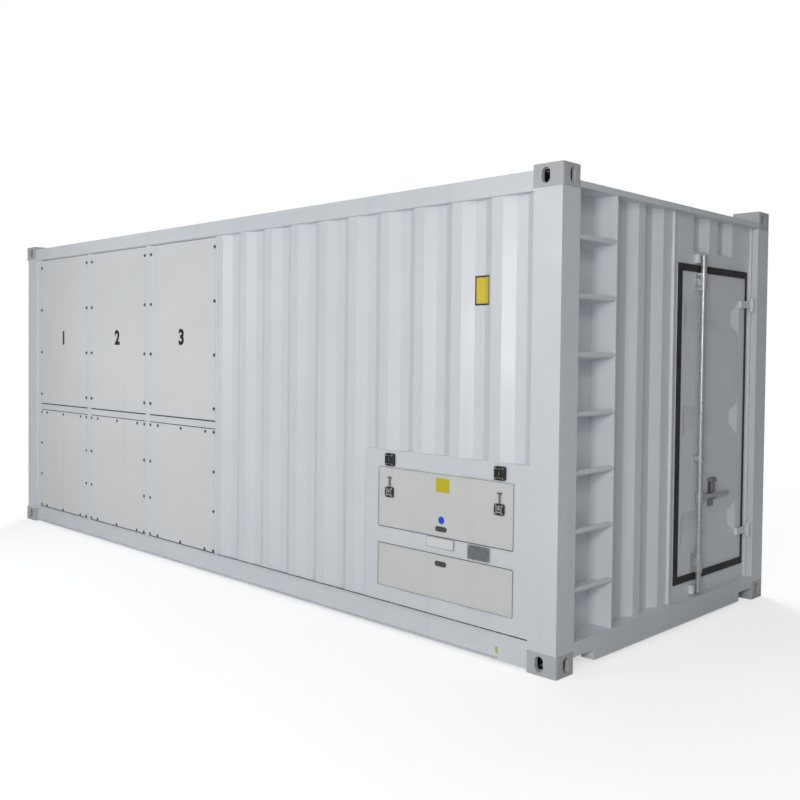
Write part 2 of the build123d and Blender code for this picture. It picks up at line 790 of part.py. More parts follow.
def cover_frame():
    with BuildPart() as frame:
        left = -post_in_x
        with BuildSketch(Plane.XZ.offset(cover_y)):
            with Locations(((left + wall_left) / 2, (bottom_rail_high + top_rail_low) / 2)):
                Rectangle(wall_left - left, top_rail_low - bottom_rail_high)
            for x0, x1 in cover_spans():
                for z0, z1 in ((upper_low, upper_high), (lower_low, lower_high)):
                    with Locations(((x0 + x1) / 2, (z0 + z1) / 2)):
                        Rectangle(x1 - x0 - 2 * cover_lap, z1 - z0 - 2 * cover_lap, mode=Mode.SUBTRACT)
        extrude(amount=-frame_plate)
        # mullion tubes behind the plate
        gap = (cover_pitch - cover_w) / 2
        for middle in [cover_spans()[0][1] + gap] + [x0 - gap for x0, x1 in cover_spans()]:
            block(middle - mullion_w / 2, middle + mullion_w / 2, -cover_y + frame_plate,
                  -cover_y + frame_plate + mullion_d, bottom_rail_high, top_rail_low)
        # corner rib where the corrugated wall starts
        block(wall_left - rib_w, wall_left, -wall_y - rib_proud, -cover_y, bottom_rail_high, top_rail_low)
        block(wall_left - sheet, wall_left, -cover_y + frame_plate, -wall_y + wave_depth, bottom_rail_high, top_rail_low)
    finish(frame, "cover_frame")


def cover_plate(spans, z0, z1, node):
    """A flat cover with a return rim that drops into the frame opening."""
    inset = cover_lap + rim_gap
    with BuildPart() as cover:
        for x0, x1 in spans:
            with BuildSketch(Plane.XZ.offset(cover_y)):
                with Locations(((x0 + x1) / 2, (z0 + z1) / 2)):
                    RectangleRounded(x1 - x0, z1 - z0, 6)
            extrude(amount=cover_thick)
            with BuildSketch(Plane.XZ.offset(cover_y)):
                with Locations(((x0 + x1) / 2, (z0 + z1) / 2)):
                    Rectangle(x1 - x0 - 2 * inset, z1 - z0 - 2 * inset)
                    Rectangle(x1 - x0 - 2 * inset - 2 * sheet, z1 - z0 - 2 * inset - 2 * sheet, mode=Mode.SUBTRACT)
            extrude(amount=-cover_rim)
    finish(cover, node)


def upper_cover_bolts():
    low = upper_low + upper_bolt_from_low
    high = upper_high - upper_bolt_from_high
    with BuildPart() as bolts:
        with BuildSketch(Plane.XZ.offset(cover_y + cover_thick)):
            for x0, x1 in cover_spans():
                with Locations(((x0 + x1) / 2, (low + high) / 2)):
                    with GridLocations(cover_w - 2 * bolt_edge, (high - low) / (upper_bolt_rows - 1),
                                       2, upper_bolt_rows):
                        RegularPolygon(upper_bolt_flats / 2, 6, major_radius=False)
        extrude(amount=bolt_head)
    finish(bolts, "upper_cover_bolts")


# ---- load modules --------------------------------------------------------------------------------------------

def module_spans():
    """X range of each module bay, between the partition plates."""
    edges = [cover_right + (cover_pitch - cover_w) / 2 - k * cover_pitch for k in range(cover_count + 1)]
    half = module_wall / 2
    return [(edges[k + 1] + half, edges[k] - half) for k in range(cover_count)]


def module_partitions():
    """Plates between the modules; the first one closes off the control room."""
    with BuildPart() as plates:
        front = -cover_y + frame_plate + mullion_d
        ends = module_spans()
        edges = [ends[0][1] + module_wall / 2] + [x0 - module_wall / 2 for x0, x1 in ends]
        for x in edges:
            block(x - module_wall / 2, x + module_wall / 2, front, module_back, floor_top, roof_z)
        # racks that carry the ends of the elements
        for x0, x1 in ends:
            for side in (-1, 1):
                block(x0 + fit, x1 - fit, side * rack_half, side * (rack_half + module_wall), rack_low, rack_high)
    finish(plates, "module_partitions")


def resistor_elements():
    with BuildPart() as elements:
        for x0, x1 in module_spans():
            for tier in range(element_tiers):
                z = element_first + tier * element_pitch
                with Locations(((x0 + x1) / 2, 0, z)):
                    with GridLocations((x1 - x0) / element_rows, 1, element_rows, 1):
                        Box(element_t, 2 * rack_half, element_h)
    finish(elements, "resistor_elements")


def intake_louvres():
    back = -cover_y + frame_plate + mullion_d
    with BuildPart() as louvres:
        for x0, x1 in cover_spans():
            left = x0 + cover_lap + 4
            right = x1 - cover_lap - 4
            low = lower_low + cover_lap + 4
            high = lower_high - cover_lap - 4
            with BuildSketch(Plane.XZ.offset(-back)):
                with Locations(((left + right) / 2, (low + high) / 2)):
                    Rectangle(cover_pitch - module_wall - 2 * fit, high - low + 40)
                    Rectangle(right - left - 40, high - low - 40, mode=Mode.SUBTRACT)
            extrude(amount=-4)
            pitch = (high - low - 40) / louvre_blades
            for k in range(louvre_blades):
                z = low + 20 + (k + 0.5) * pitch
                tilt = math.radians(louvre_tilt)
                dy = louvre_depth / 2 * math.cos(tilt)
                dz = louvre_depth / 2 * math.sin(tilt)
                y = back + 4 + dy
                with BuildSketch(Plane.YZ.offset(left + 20)):
                    with BuildLine():
                        Polyline((y - dy - 2, z - dz), (y + dy, z + dz), (y + dy, z + dz + 4), (y - dy - 2, z - dz + 4),
                                 close=True)
                    make_face()
                extrude(amount=right - left - 40)
            # side cheeks that carry the blades
            for x in (left + 20 - 3, right - 20):
                block(x, x + 3, back + 2, back + 4 + 2 * louvre_depth, low - 10, high + 10)
    finish(louvres, "intake_louvres")


def fan_centres():
    return [((x0 + x1) / 2, 0.0) for x0, x1 in module_spans()]


def fan_housings():
    ring = fan_r + fan_tip_gap
    with BuildPart() as housings:
        for (x0, x1), (cx, cy) in zip(module_spans(), fan_centres()):
            with BuildSketch(Plane.XY.offset(fan_z)):
                with Locations((cx, cy)):
                    Rectangle(x1 - x0, 2 * rack_half)
                    Circle(ring, mode=Mode.SUBTRACT)
            extrude(amount=module_wall)
            with BuildSketch(Plane.XY.offset(fan_z)):
                with Locations((cx, cy)):
                    Circle(ring + module_wall)
                    Circle(ring, mode=Mode.SUBTRACT)
            extrude(amount=fan_ring_h)
            # arms under the plate that carry the motor
            for side in (-1, 1):
                block(cx - ring - 20, cx + ring + 20, side * 60 - arm_w / 2, side * 60 + arm_w / 2,
                      fan_z - arm_w, fan_z)
    finish(housings, "fan_housings")


def fan_motors():
    top = fan_z
    with BuildPart() as motors:
        for cx, cy in fan_centres():
            with Locations((cx, cy, top - arm_w - motor_h / 2)):
                Cylinder(motor_r, motor_h)
            with Locations((cx, cy, top - arm_w + shaft_l)):
                Cylinder(shaft_r, 2 * shaft_l)
    finish(motors, "fan_motors")


def fan_impeller(k):
    cx, cy = fan_centres()[k]
    low = fan_z + 14
    with BuildPart() as impeller:
        with Locations((cx, cy, low + fan_hub_h / 2)):
            Cylinder(hub_r, fan_hub_h)
        with BuildSketch(Plane(origin=(cx, cy + hub_r * 0.7, low + fan_hub_h / 2), x_dir=(1, 0, 0), z_dir=(0, 1, 0))):
            Rectangle(90, 8, rotation=-35)
        with BuildSketch(Plane(origin=(cx, cy + fan_r - 6, low + fan_hub_h / 2), x_dir=(1, 0, 0), z_dir=(0, 1, 0))):
            Rectangle(150, 5, rotation=-20)
        loft(mode=Mode.ADD)
        blade = impeller.part
        for n in range(1, fan_blades):
            add(blade.rotate(Axis((cx, cy, 0), (0, 0, 1)), n * 360 / fan_blades))
        with Locations((cx, cy, low + fan_hub_h / 2)):
            Cylinder(shaft_r + pin_fit, fan_hub_h + 2, mode=Mode.SUBTRACT)
    finish(impeller, f"fan_impeller_{k + 1}")


# ---- roof ----------------------------------------------------------------------------------------------------

def roof_panel():
    rail_in = frame_y - top_rail_w
    left = -post_in_x
    right = front_low_x
    span = right - wall_left
    pitch = span / roof_wave_count
    with BuildPart() as roof:
        top = [(left, roof_z)]
        for k in range(roof_wave_count):
            a = wall_left + k * pitch
            top += [(a + 0.1 * pitch, roof_z), (a + 0.3 * pitch, roof_z - roof_wave),
                    (a + 0.6 * pitch, roof_z - roof_wave), (a + 0.8 * pitch, roof_z)]
        top.append((right, roof_z))
        with BuildSketch(Plane.XZ.offset(-rail_in)):
            with BuildLine():
                under = [(x, z + sheet) for x, z in reversed(top)]
                Polyline(*top, *under, close=True)
            make_face()
        extrude(amount=2 * rail_in)
        for cx, cy in fan_centres():
            block(cx - exhaust_l / 2, cx + exhaust_l / 2, -exhaust_w / 2, exhaust_w / 2,
                  roof_z - 5, roof_z + 10, Mode.SUBTRACT)
            with BuildSketch(Plane.XY.offset(roof_z + sheet)):
                with Locations((cx, cy)):
                    Rectangle(exhaust_l + 2 * curb_wall, exhaust_w + 2 * curb_wall)
                    Rectangle(exhaust_l, exhaust_w, mode=Mode.SUBTRACT)
            extrude(amount=curb)
            # hinge lugs with fixed pins for the hatch
            pin_y = exhaust_w / 2 + curb_wall + hatch_gap + sheet + hatch_knuckle_r + 2
            for side in (-1, 1):
                x = cx + side * (exhaust_l / 2 - 120)
                for end in (-1, 1):
                    a = x + end * (hatch_knuckle_h / 2 + fit)
                    block(a, a + end * 8, pin_y - 3, pin_y + hatch_knuckle_r,
                          roof_z + sheet, roof_z + sheet + 2 * hatch_knuckle_r + 4)
                with Locations(Plane((x, pin_y, roof_z + sheet + hatch_knuckle_r + 4), z_dir=(1, 0, 0))):
                    Cylinder(hatch_pin_r, hatch_knuckle_h + 6)
    finish(roof, "roof_panel")


def roof_hatch(k):
    cx, cy = fan_centres()[k]
    half_x = exhaust_l / 2 + curb_wall + hatch_gap + sheet
    half_y = exhaust_w / 2 + curb_wall + hatch_gap + sheet
    low = roof_z + sheet + curb + fit
    pin_y = exhaust_w / 2 + curb_wall + hatch_gap + sheet + hatch_knuckle_r + 2
    pin_z = roof_z + sheet + hatch_knuckle_r + 4
    with BuildPart() as hatch:
        block(cx - half_x, cx + half_x, -half_y, half_y, low, low + hatch_thick)
        with BuildSketch(Plane.XY.offset(low)):
            with Locations((cx, cy)):
                Rectangle(2 * half_x, 2 * half_y)
                Rectangle(2 * half_x - 2 * sheet, 2 * half_y - 2 * sheet, mode=Mode.SUBTRACT)
        extrude(amount=-10)
        for side in (-1, 1):
            x = cx + side * (exhaust_l / 2 - 120)
            block(x - hatch_knuckle_h / 2, x + hatch_knuckle_h / 2, half_y - sheet, pin_y, low - 10, low + hatch_thick)
            with Locations(Plane((x, pin_y, pin_z), z_dir=(1, 0, 0))):
                Cylinder(hatch_knuckle_r, hatch_knuckle_h)
                Cylinder(hatch_pin_r + pin_fit, hatch_knuckle_h + 2, mode=Mode.SUBTRACT)
    finish(hatch, f"roof_hatch_{k + 1}")


def exhaust_grilles():
    with BuildPart() as grilles:
        for cx, cy in fan_centres():
            with BuildSketch(Plane.XY.offset(roof_z - 30)):
                with Locations((cx, cy)):
                    Rectangle(exhaust_l + 60, exhaust_w + 60)
                    Rectangle(exhaust_l - 20, exhaust_w - 20, mode=Mode.SUBTRACT)
                    with GridLocations((exhaust_l - 20) / grille_bars, 1, grille_bars - 1, 1):
                        Rectangle(5, exhaust_w)
            extrude(amount=30)
    finish(grilles, "exhaust_grilles")


# ---- control flaps -------------------------------------------------------------------------------------------

def control_frame():
    with BuildPart() as frame:
        with BuildSketch(Plane.XZ.offset(control_y)):
            with Locations(((control_left + control_right) / 2, (bottom_rail_high + control_high) / 2)):
                Rectangle(control_right - control_left, control_high - bottom_rail_high)
            for z0, z1 in ((upper_flap_low, upper_flap_high), (lower_flap_low, lower_flap_high)):
                with Locations(((flap_left + flap_right) / 2, (z0 + z1) / 2)):
                    Rectangle(flap_right - flap_left - 2 * flap_lap, z1 - z0 - 2 * flap_lap, mode=Mode.SUBTRACT)
        extrude(amount=-frame_plate)
        # left and top returns to the corrugated wall
        block(control_left, control_left + sheet, -wall_y, -wall_y + wave_depth + sheet, bottom_rail_high, control_high)
        block(control_left, control_right, -wall_y, -wall_y + wave_depth + sheet, control_high - sheet, control_high)
        # fixed halves of the flap hinges with their pins
        y = -control_y - flap_hinge_r - fit
        for roll in (upper_flap_high + fit + flap_hinge_r, lower_flap_low - fit - flap_hinge_r):
            for x in (flap_left + flap_roll_in, flap_right - flap_roll_in - flap_roll_l):
                with Locations(Plane((x + flap_roll_l / 2, y, roll), z_dir=(1, 0, 0))):
                    Cylinder(flap_pin_r, flap_roll_l + 40)
                for a in (x - 20, x + flap_roll_l + fit):
                    block(a, a + 20 - fit, y - 3, -control_y, roll - 3.5, roll + 3.5)
    finish(frame, "control_frame")


def control_box():
    """Steel box behind both flap openings, divided by a shelf."""
    front = -control_y + frame_plate
    x0 = flap_left + flap_lap - 30
    x1 = flap_right - flap_lap + 30
    z0 = lower_flap_low - 20
    z1 = upper_flap_high + 20
    shelf = (upper_flap_low + lower_flap_high) / 2
    with BuildPart() as box:
        block(x0, x1, front, front + box_depth, z0, z1)
        block(x0 + sheet, x1 - sheet, front, front + box_depth - sheet, z0 + sheet, shelf - sheet, Mode.SUBTRACT)
        block(x0 + sheet, x1 - sheet, front, front + box_depth - sheet, shelf, z1 - sheet, Mode.SUBTRACT)
        # cable slots in the floor of the lower bay
        middle = (x0 + x1) / 2
        with BuildSketch(Plane.XY.offset(z0)):
            with Locations((middle, front + box_depth / 2)):
                with GridLocations(busbar_pitch, 1, busbar_count, 1):
                    SlotOverall(120, 60)
        extrude(amount=sheet, mode=Mode.SUBTRACT)
    finish(box, "control_box")


def control_panel():
    y = -control_y + panel_back
    x0 = flap_left + flap_lap - 30 + sheet
    x1 = flap_right - flap_lap + 30 - sheet
    shelf = (upper_flap_low + lower_flap_high) / 2
    with BuildPart() as panel:
        block(x0, x1, y, y + panel_thick, shelf, upper_flap_high + 20 - sheet)
        for x, r in ((flap_right - estop_in, estop_r - 8), (flap_right - switch_in, switch_r - 6)):
            with Locations(Plane((x, y, upper_flap_low + controls_up), z_dir=(0, 1, 0))):
                Cylinder(r + fit, 40, mode=Mode.SUBTRACT)
    finish(panel, "control_panel")


def panel_instruments():
    y = -control_y + panel_back
    with BuildPart() as set_:
        for k in range(meter_count):
            x = flap_left + 110 + k * (meter_size + 34)
            block(x, x + meter_size, y - 14, y, upper_flap_low + 190, upper_flap_low + 190 + meter_size)
        for k in range(8):
            x = flap_left + 110 + k * 54
            block(x, x + 46, y - 22, y, upper_flap_low + 70, upper_flap_low + 150)
            block(x + 14, x + 32, y - 34, y - 22, upper_flap_low + 104, upper_flap_low + 118)
    finish(set_, "panel_instruments")


def emergency_stop():
    y = -control_y + panel_back
    with BuildPart() as button:
        with Locations(Plane((flap_right - estop_in, y - 16 - estop_travel, upper_flap_low + controls_up), z_dir=(0, 1, 0))):
            Cylinder(estop_r, 24)
        with Locations(Plane((flap_right - estop_in, y, upper_flap_low + controls_up), z_dir=(0, 1, 0))):
            Cylinder(estop_r - 8, 34)
    finish(button, "emergency_stop")


def selector_switch():
    y = -control_y + panel_back
    with BuildPart() as knob:
        with Locations(Plane((flap_right - switch_in, y - fit - 5, upper_flap_low + controls_up), z_dir=(0, 1, 0))):
            Cylinder(switch_r, 10)
        with Locations(Plane((flap_right - switch_in, y, upper_flap_low + controls_up), z_dir=(0, 1, 0))):
            Cylinder(switch_r - 6, 34)
        block(flap_right - switch_in - 4, flap_right - switch_in + 4, y - fit - 26, y - fit - 9,
              upper_flap_low + controls_up - switch_r, upper_flap_low + controls_up + switch_r)
    finish(knob, "selector_switch")


def busbars():
    back = -control_y + frame_plate + box_depth - sheet
    middle = (flap_left + flap_right) / 2
    low = lower_flap_low + busbar_up
    with BuildPart() as bars:
        for k in range(busbar_count):
            x = middle + (k - (busbar_count - 1) / 2) * busbar_pitch
            block(x - busbar_w / 2, x + busbar_w / 2, back - busbar_back - busbar_t, back - busbar_back, low, low + busbar_l)
            with Locations(Plane((x, back - busbar_back, low + 30), z_dir=(0, 1, 0))):
                Cylinder(8, 40, mode=Mode.SUBTRACT)
    finish(bars, "busbars")


def busbar_insulators():
    back = -control_y + frame_plate + box_depth - sheet
    middle = (flap_left + flap_right) / 2
    low = lower_flap_low + busbar_up
    with BuildPart() as posts:
        for k in range(busbar_count):
            x = middle + (k - (busbar_count - 1) / 2) * busbar_pitch
            with Locations(Plane((x, back - busbar_back / 2, low + busbar_l - 30), z_dir=(0, 1, 0))):
                Cylinder(22, busbar_back)
    finish(posts, "busbar_insulators")


def flap(z0, z1, handle_at, node):
    """A flap with a folded rim and a pocket for the flush handle."""
    inset = flap_lap + rim_gap
    with BuildPart() as door:
        with BuildSketch(Plane.XZ.offset(control_y)):
            with Locations(((flap_left + flap_right) / 2, (z0 + z1) / 2)):
                RectangleRounded(flap_right - flap_left, z1 - z0, 5)
        extrude(amount=flap_thick)
        with BuildSketch(Plane.XZ.offset(control_y)):
            with Locations(((flap_left + flap_right) / 2, (z0 + z1) / 2)):
                Rectangle(flap_right - flap_left - 2 * inset, z1 - z0 - 2 * inset)
                Rectangle(flap_right - flap_left - 2 * inset - 2 * sheet, z1 - z0 - 2 * inset - 2 * sheet,
                          mode=Mode.SUBTRACT)
        extrude(amount=-flap_rim)
        # pressed pocket of the flush handle
        with BuildSketch(Plane.XZ.offset(control_y)):
            with Locations((flush_x, handle_at)):
                SlotOverall(flush_w + 4, flush_h + 4)
        extrude(amount=-flush_depth)
        with BuildSketch(Plane.XZ.offset(control_y + flap_thick)):
            with Locations((flush_x, handle_at)):
                SlotOverall(flush_w, flush_h)
        extrude(amount=-(flap_thick + flush_depth - 2), mode=Mode.SUBTRACT)
        # hinge roll along the free side of the frame
        roll = z1 + fit + flap_hinge_r if node == "upper_flap" else z0 - fit - flap_hinge_r
        edge = z1 - 2 if node == "upper_flap" else z0 + 2
        y = -control_y - flap_hinge_r - fit
        for x in (flap_left + flap_roll_in, flap_right - flap_roll_in - flap_roll_l):
            axis = Plane((x + flap_roll_l / 2, y, roll), z_dir=(1, 0, 0))
            with Locations(axis):
                Cylinder(flap_hinge_r, flap_roll_l)
            block(x, x + flap_roll_l, y, y + flap_hinge_r, min(roll, edge), max(roll, edge))
            with Locations(axis):
                Cylinder(flap_pin_r + pin_fit, flap_roll_l + 2, mode=Mode.SUBTRACT)
    finish(door, node)


def flush_handle(z, node):
    """Sprung paddle that sits in the pocket; it turns on a pin along X."""
    with BuildPart() as paddle:
        with BuildSketch(Plane.XZ.offset(control_y + flap_thick - paddle_t)):
            with Locations((flush_x, z)):
                SlotOverall(flush_w - paddle_gap, flush_h - paddle_gap)
        extrude(amount=paddle_t)
        with Locations(Plane((flush_x, -control_y - flap_thick + paddle_t, z + paddle_pin_up), z_dir=(1, 0, 0))):
            Cylinder(paddle_pin_r, paddle_pin_l)
    finish(paddle, node)


def flap_keepers():
    """Two black keeper blocks on the frame over the upper flap."""
    with BuildPart() as keepers:
        with BuildSketch(Plane.XZ.offset(control_y)):
            for x in latch_xs:
                with Locations((x, (keeper_block_low + keeper_block_high) / 2)):
                    RectangleRounded(keeper_block_w, keeper_block_high - keeper_block_low, 10)
        extrude(amount=keeper_block_t)
        chamfer(keepers.faces().sort_by(Axis.Y)[:2].edges(), 4)
        with BuildSketch(Plane.XZ.offset(control_y + keeper_block_t)):
            for x in latch_xs:
                with Locations((x, (keeper_block_low + keeper_block_high) / 2)):
                    Rectangle(26, 44)
        extrude(amount=-10, mode=Mode.SUBTRACT)
    finish(keepers, "flap_keepers")


def latch_boxes():
    with BuildPart() as boxes:
        with BuildSketch(Plane.XZ.offset(control_y + flap_thick)):
            for x in latch_xs:
                with Locations((x, (latch_box_low + latch_box_high) / 2)):
                    RectangleRounded(latch_box_w, latch_box_high - latch_box_low, 8)
        extrude(amount=latch_box_t)
        with Locations(*[Plane((x, -control_y - flap_thick - latch_box_t / 2, latch_box_high - 20)) for x in latch_xs]):
            Cylinder(tee_stem_r + fit, 60, mode=Mode.SUBTRACT)
    finish(boxes, "latch_boxes")


def latch_tee(k):
    """Sprung T-bolt: a stem in the latch box under a mushroom head."""
    x = latch_xs[k]
    y = -control_y - flap_thick - latch_box_t / 2
    with BuildPart() as tee:
        with Locations((x, y, (tee_top + latch_box_high - 46) / 2)):
            Cylinder(tee_stem_r, tee_top - latch_box_high + 46)
        with BuildSketch(Plane.XZ.offset(-(y + latch_box_t / 2))):
            with Locations((x, tee_top - tee_head_h / 2)):
                SlotOverall(tee_head_w, tee_head_h)
        extrude(amount=latch_box_t)
    finish(tee, f"latch_tee_{k + 1}")


# ---- cargo doors at the rear ------------------------------------------------------------------------------------

def cargo_door(side, node):
    """One leaf with pressings, hinge blades and knuckles."""
    face = -(half_l - rear_door_face)
    pin_x = -(half_l - rear_pin_out)
    inner = side * rear_gap / 2
    outer = side * (post_in_y - rear_gap)
    with BuildPart() as leaf:
        block(face, face + rear_thick, inner, outer, rear_low, rear_high)
        block(face + rear_thick - 18, face + rear_thick, inner + side * 30, outer - side * 30,
              rear_low + 30, rear_high - 30, Mode.SUBTRACT)
        middle = -(inner + outer) / 2
        with BuildSketch(Plane(origin=(face, 0, 0), x_dir=(0, -1, 0), z_dir=(-1, 0, 0))):
            for z in pressing_lows:
                with Locations((middle, z + pressing_h / 2)):
                    Rectangle(abs(outer - inner) - 150, pressing_h)
        extrude(amount=-pressing_depth, taper=pressing_draft, mode=Mode.SUBTRACT)
        for z in rear_hinge_zs:
            block(pin_x - strap_thick / 2, pin_x + strap_thick / 2, outer - side * 120, side * rear_pin_y,
                  z - knuckle_h / 2 + fit, z + knuckle_h / 2 - fit)
            block(pin_x, face, outer - side * 120, outer - side * 20,
                  z - knuckle_h / 2 + fit, z + knuckle_h / 2 - fit)
            with Locations((pin_x, side * rear_pin_y, z)):
                Cylinder(knuckle_r - 2, knuckle_h - 2 * fit)
                Cylinder(hinge_pin_r + pin_fit, knuckle_h, mode=Mode.SUBTRACT)
        # bearing blocks of the lock bar
        for z in (rear_low + 90, handle_z + 260, rear_high - 90):
            block(face - 4, face, side * rear_bar_y - 50, side * rear_bar_y + 50, z - 25, z + 25)
            block(-(half_l - bar_r - 6) - 4, face, side * rear_bar_y - bar_r - 4, side * rear_bar_y + bar_r + 4,
                  z - 20, z + 20)
            with Locations((-(half_l - bar_r - 2), side * rear_bar_y, z)):
                Cylinder(bar_r - 4 + pin_fit, 60, mode=Mode.SUBTRACT)
    finish(leaf, node)


def cargo_lock_bar(side, node):
    bar_x = -(half_l - bar_r - 2)
    y = side * rear_bar_y
    with BuildPart() as bar:
        with Locations((bar_x, y, (rear_low + rear_high) / 2)):
            Cylinder(bar_r - 4, rear_high - rear_low - 20)
        with Locations((bar_x, y, handle_z)):
            Cylinder(bar_r, hub_h)
        block(bar_x - handle_thick, bar_x, y, y + side * handle_l, handle_z - handle_h / 2, handle_z + handle_h / 2)
    finish(bar, node)


# ---- build ---------------------------------------------------------------------------------------------------------

corner_castings()
corner_posts()
top_side_rails()
bottom_side_rails()
end_headers()
end_sills()
cross_members()
floor_deck()
side_wall()
far_side_wall()
end_wall()
ladder_rungs()
door_frame()
service_door()
service_door_gasket()
service_door_hinges()
hinge_pins()
lock_bar()
bar_brackets()
handle_catch()
handle_hasp()
cover_frame()
cover_plate(cover_spans(), upper_low, upper_high, "upper_covers")
for index, span in enumerate(cover_spans()):
    cover_plate([span], lower_low, lower_high, f"lower_cover_{index + 1}")
upper_cover_bolts()
module_partitions()
resistor_elements()
intake_louvres()
fan_housings()
fan_motors()
for index in range(cover_count):
    fan_impeller(index)
    roof_hatch(index)
roof_panel()
exhaust_grilles()
control_frame()
control_box()
control_panel()
panel_instruments()
emergency_stop()
selector_switch()
busbars()
busbar_insulators()
flap(upper_flap_low, upper_flap_high, flush_zs[0], "upper_flap")
flap(lower_flap_low, lower_flap_high, flush_zs[1], "lower_flap")
flush_handle(flush_zs[0], "upper_flap_handle")
flush_handle(flush_zs[1], "lower_flap_handle")
flap_keepers()
latch_boxes()
latch_tee(0)
latch_tee(1)
cargo_door(-1, "cargo_door_right")
cargo_door(1, "cargo_door_left")
cargo_lock_bar(-1, "cargo_lock_bar_right")
cargo_lock_bar(1, "cargo_lock_bar_left")
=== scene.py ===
import math

import bmesh
import bpy
from mathutils import Matrix, Vector


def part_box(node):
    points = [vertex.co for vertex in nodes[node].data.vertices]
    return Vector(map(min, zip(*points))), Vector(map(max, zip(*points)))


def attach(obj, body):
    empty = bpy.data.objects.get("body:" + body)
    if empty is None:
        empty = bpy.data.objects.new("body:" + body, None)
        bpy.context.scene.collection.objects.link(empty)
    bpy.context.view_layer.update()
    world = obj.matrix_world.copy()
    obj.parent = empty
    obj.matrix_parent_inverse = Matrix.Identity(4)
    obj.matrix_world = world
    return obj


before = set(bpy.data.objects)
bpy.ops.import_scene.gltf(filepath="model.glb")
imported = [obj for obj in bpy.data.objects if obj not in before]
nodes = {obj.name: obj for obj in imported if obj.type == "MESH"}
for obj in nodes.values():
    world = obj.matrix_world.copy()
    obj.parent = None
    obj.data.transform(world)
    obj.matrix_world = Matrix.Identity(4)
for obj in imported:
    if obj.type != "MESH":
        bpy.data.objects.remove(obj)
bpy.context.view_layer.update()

# ---- posts, rails, headers and sills ----------------------------------------
# Pressed and welded steel plate, shot blasted and sprayed with a white gloss
# paint that runs over every weld. Weld seams join the posts to the castings.


def principled(name):
    """A new material, its node tree and its shader."""
    material = bpy.data.materials.new(name)
    material.use_nodes = True
    tree = material.node_tree
    return material, tree, tree.nodes["Principled BSDF"]


def grain(tree, size, detail, scale=(1, 1, 1)):
    """Noise in the object's own place, stretched by scale."""
    place = tree.nodes.new("ShaderNodeTexCoord")
    mapping = tree.nodes.new("ShaderNodeMapping")
    mapping.inputs["Scale"].default_value = scale
    noise = tree.nodes.new("ShaderNodeTexNoise")
    noise.inputs["Scale"].default_value = size
    noise.inputs["Detail"].default_value = detail
    tree.links.new(place.outputs["Object"], mapping.inputs["Vector"])
    tree.links.new(mapping.outputs["Vector"], noise.inputs["Vector"])
    return noise.outputs["Fac"]


def spread(tree, value, low, high, a, b):
    """The value between low and high, carried over to a..b."""
    node = tree.nodes.new("ShaderNodeMapRange")
    node.inputs["From Min"].default_value = low
    node.inputs["From Max"].default_value = high
    node.inputs["To Min"].default_value = a
    node.inputs["To Max"].default_value = b
    tree.links.new(value, node.inputs["Value"])
    return node.outputs["Result"]


def product(tree, a, b):
    """Two sockets multiplied."""
    node = tree.nodes.new("ShaderNodeMath")
    node.operation = "MULTIPLY"
    tree.links.new(a, node.inputs[0])
    tree.links.new(b, node.inputs[1])
    return node.outputs[0]


def blend(tree, factor, a, b):
    """Colour a where the factor is 0, colour b where it is 1; a may be a colour or a socket."""
    mix = tree.nodes.new("ShaderNodeMix")
    mix.data_type = "RGBA"
    if isinstance(a, tuple):
        mix.inputs["A"].default_value = (*a, 1)
    else:
        tree.links.new(a, mix.inputs["A"])
    mix.inputs["B"].default_value = (*b, 1)
    tree.links.new(factor, mix.inputs["Factor"])
    return mix.outputs["Result"]


def relief(tree, heights):
    """Bumps laid over each other: (height socket, strength, depth)."""
    normal = None
    for height, strength, depth in heights:
        bump = tree.nodes.new("ShaderNodeBump")
        bump.inputs["Strength"].default_value = strength
        bump.inputs["Distance"].default_value = depth
        tree.links.new(height, bump.inputs["Height"])
        if normal is not None:
            tree.links.new(normal, bump.inputs["Normal"])
        normal = bump.outputs["Normal"]
    tree.links.new(normal, tree.nodes["Principled BSDF"].inputs["Normal"])


def sprayed_paint(name, colour, shade, roughness, orange_peel, dust_height, dust=0.3):
    """Sprayed paint: cloudy tone, runs of road film, dust near the ground, orange peel, slow waves of the sheet."""
    material, tree, shader = principled(name)
    tone = spread(tree, grain(tree, 1.7, 4), 0.3, 0.7, 0.0, 1.0)
    base = blend(tree, tone, colour, shade)
    runs = spread(tree, grain(tree, 1.0, 5, (11, 11, 0.7)), 0.58, 0.8, 0.0, 0.12)
    base = blend(tree, runs, base, (0.42, 0.42, 0.41))
    place = tree.nodes.new("ShaderNodeTexCoord")
    axes = tree.nodes.new("ShaderNodeSeparateXYZ")
    tree.links.new(place.outputs["Object"], axes.inputs["Vector"])
    low = spread(tree, axes.outputs["Z"], 0.0, dust_height, dust, 0.0)
    patch = spread(tree, grain(tree, 14, 6), 0.42, 0.75, 0.0, 1.0)
    base = blend(tree, product(tree, low, patch), base, (0.40, 0.39, 0.36))
    tree.links.new(base, shader.inputs["Base Color"])
    sheen = spread(tree, grain(tree, 6, 3), 0.3, 0.7, roughness - 0.04, roughness + 0.08)
    tree.links.new(sheen, shader.inputs["Roughness"])
    relief(tree, [(grain(tree, 240, 2), orange_peel, 0.0006),
                  (grain(tree, 3.1, 1, (1, 1, 0.45)), 0.10, 0.01)])
    return material


def coat(material, *names):
    """Give the named CAD nodes a material."""
    for name in names:
        for held in nodes[name].material_slots:
            held.material = material


def node_input(tree, name, kind):
    """A named input of a node group."""
    return tree.interface.new_socket(name=name, in_out="INPUT", socket_type=kind)


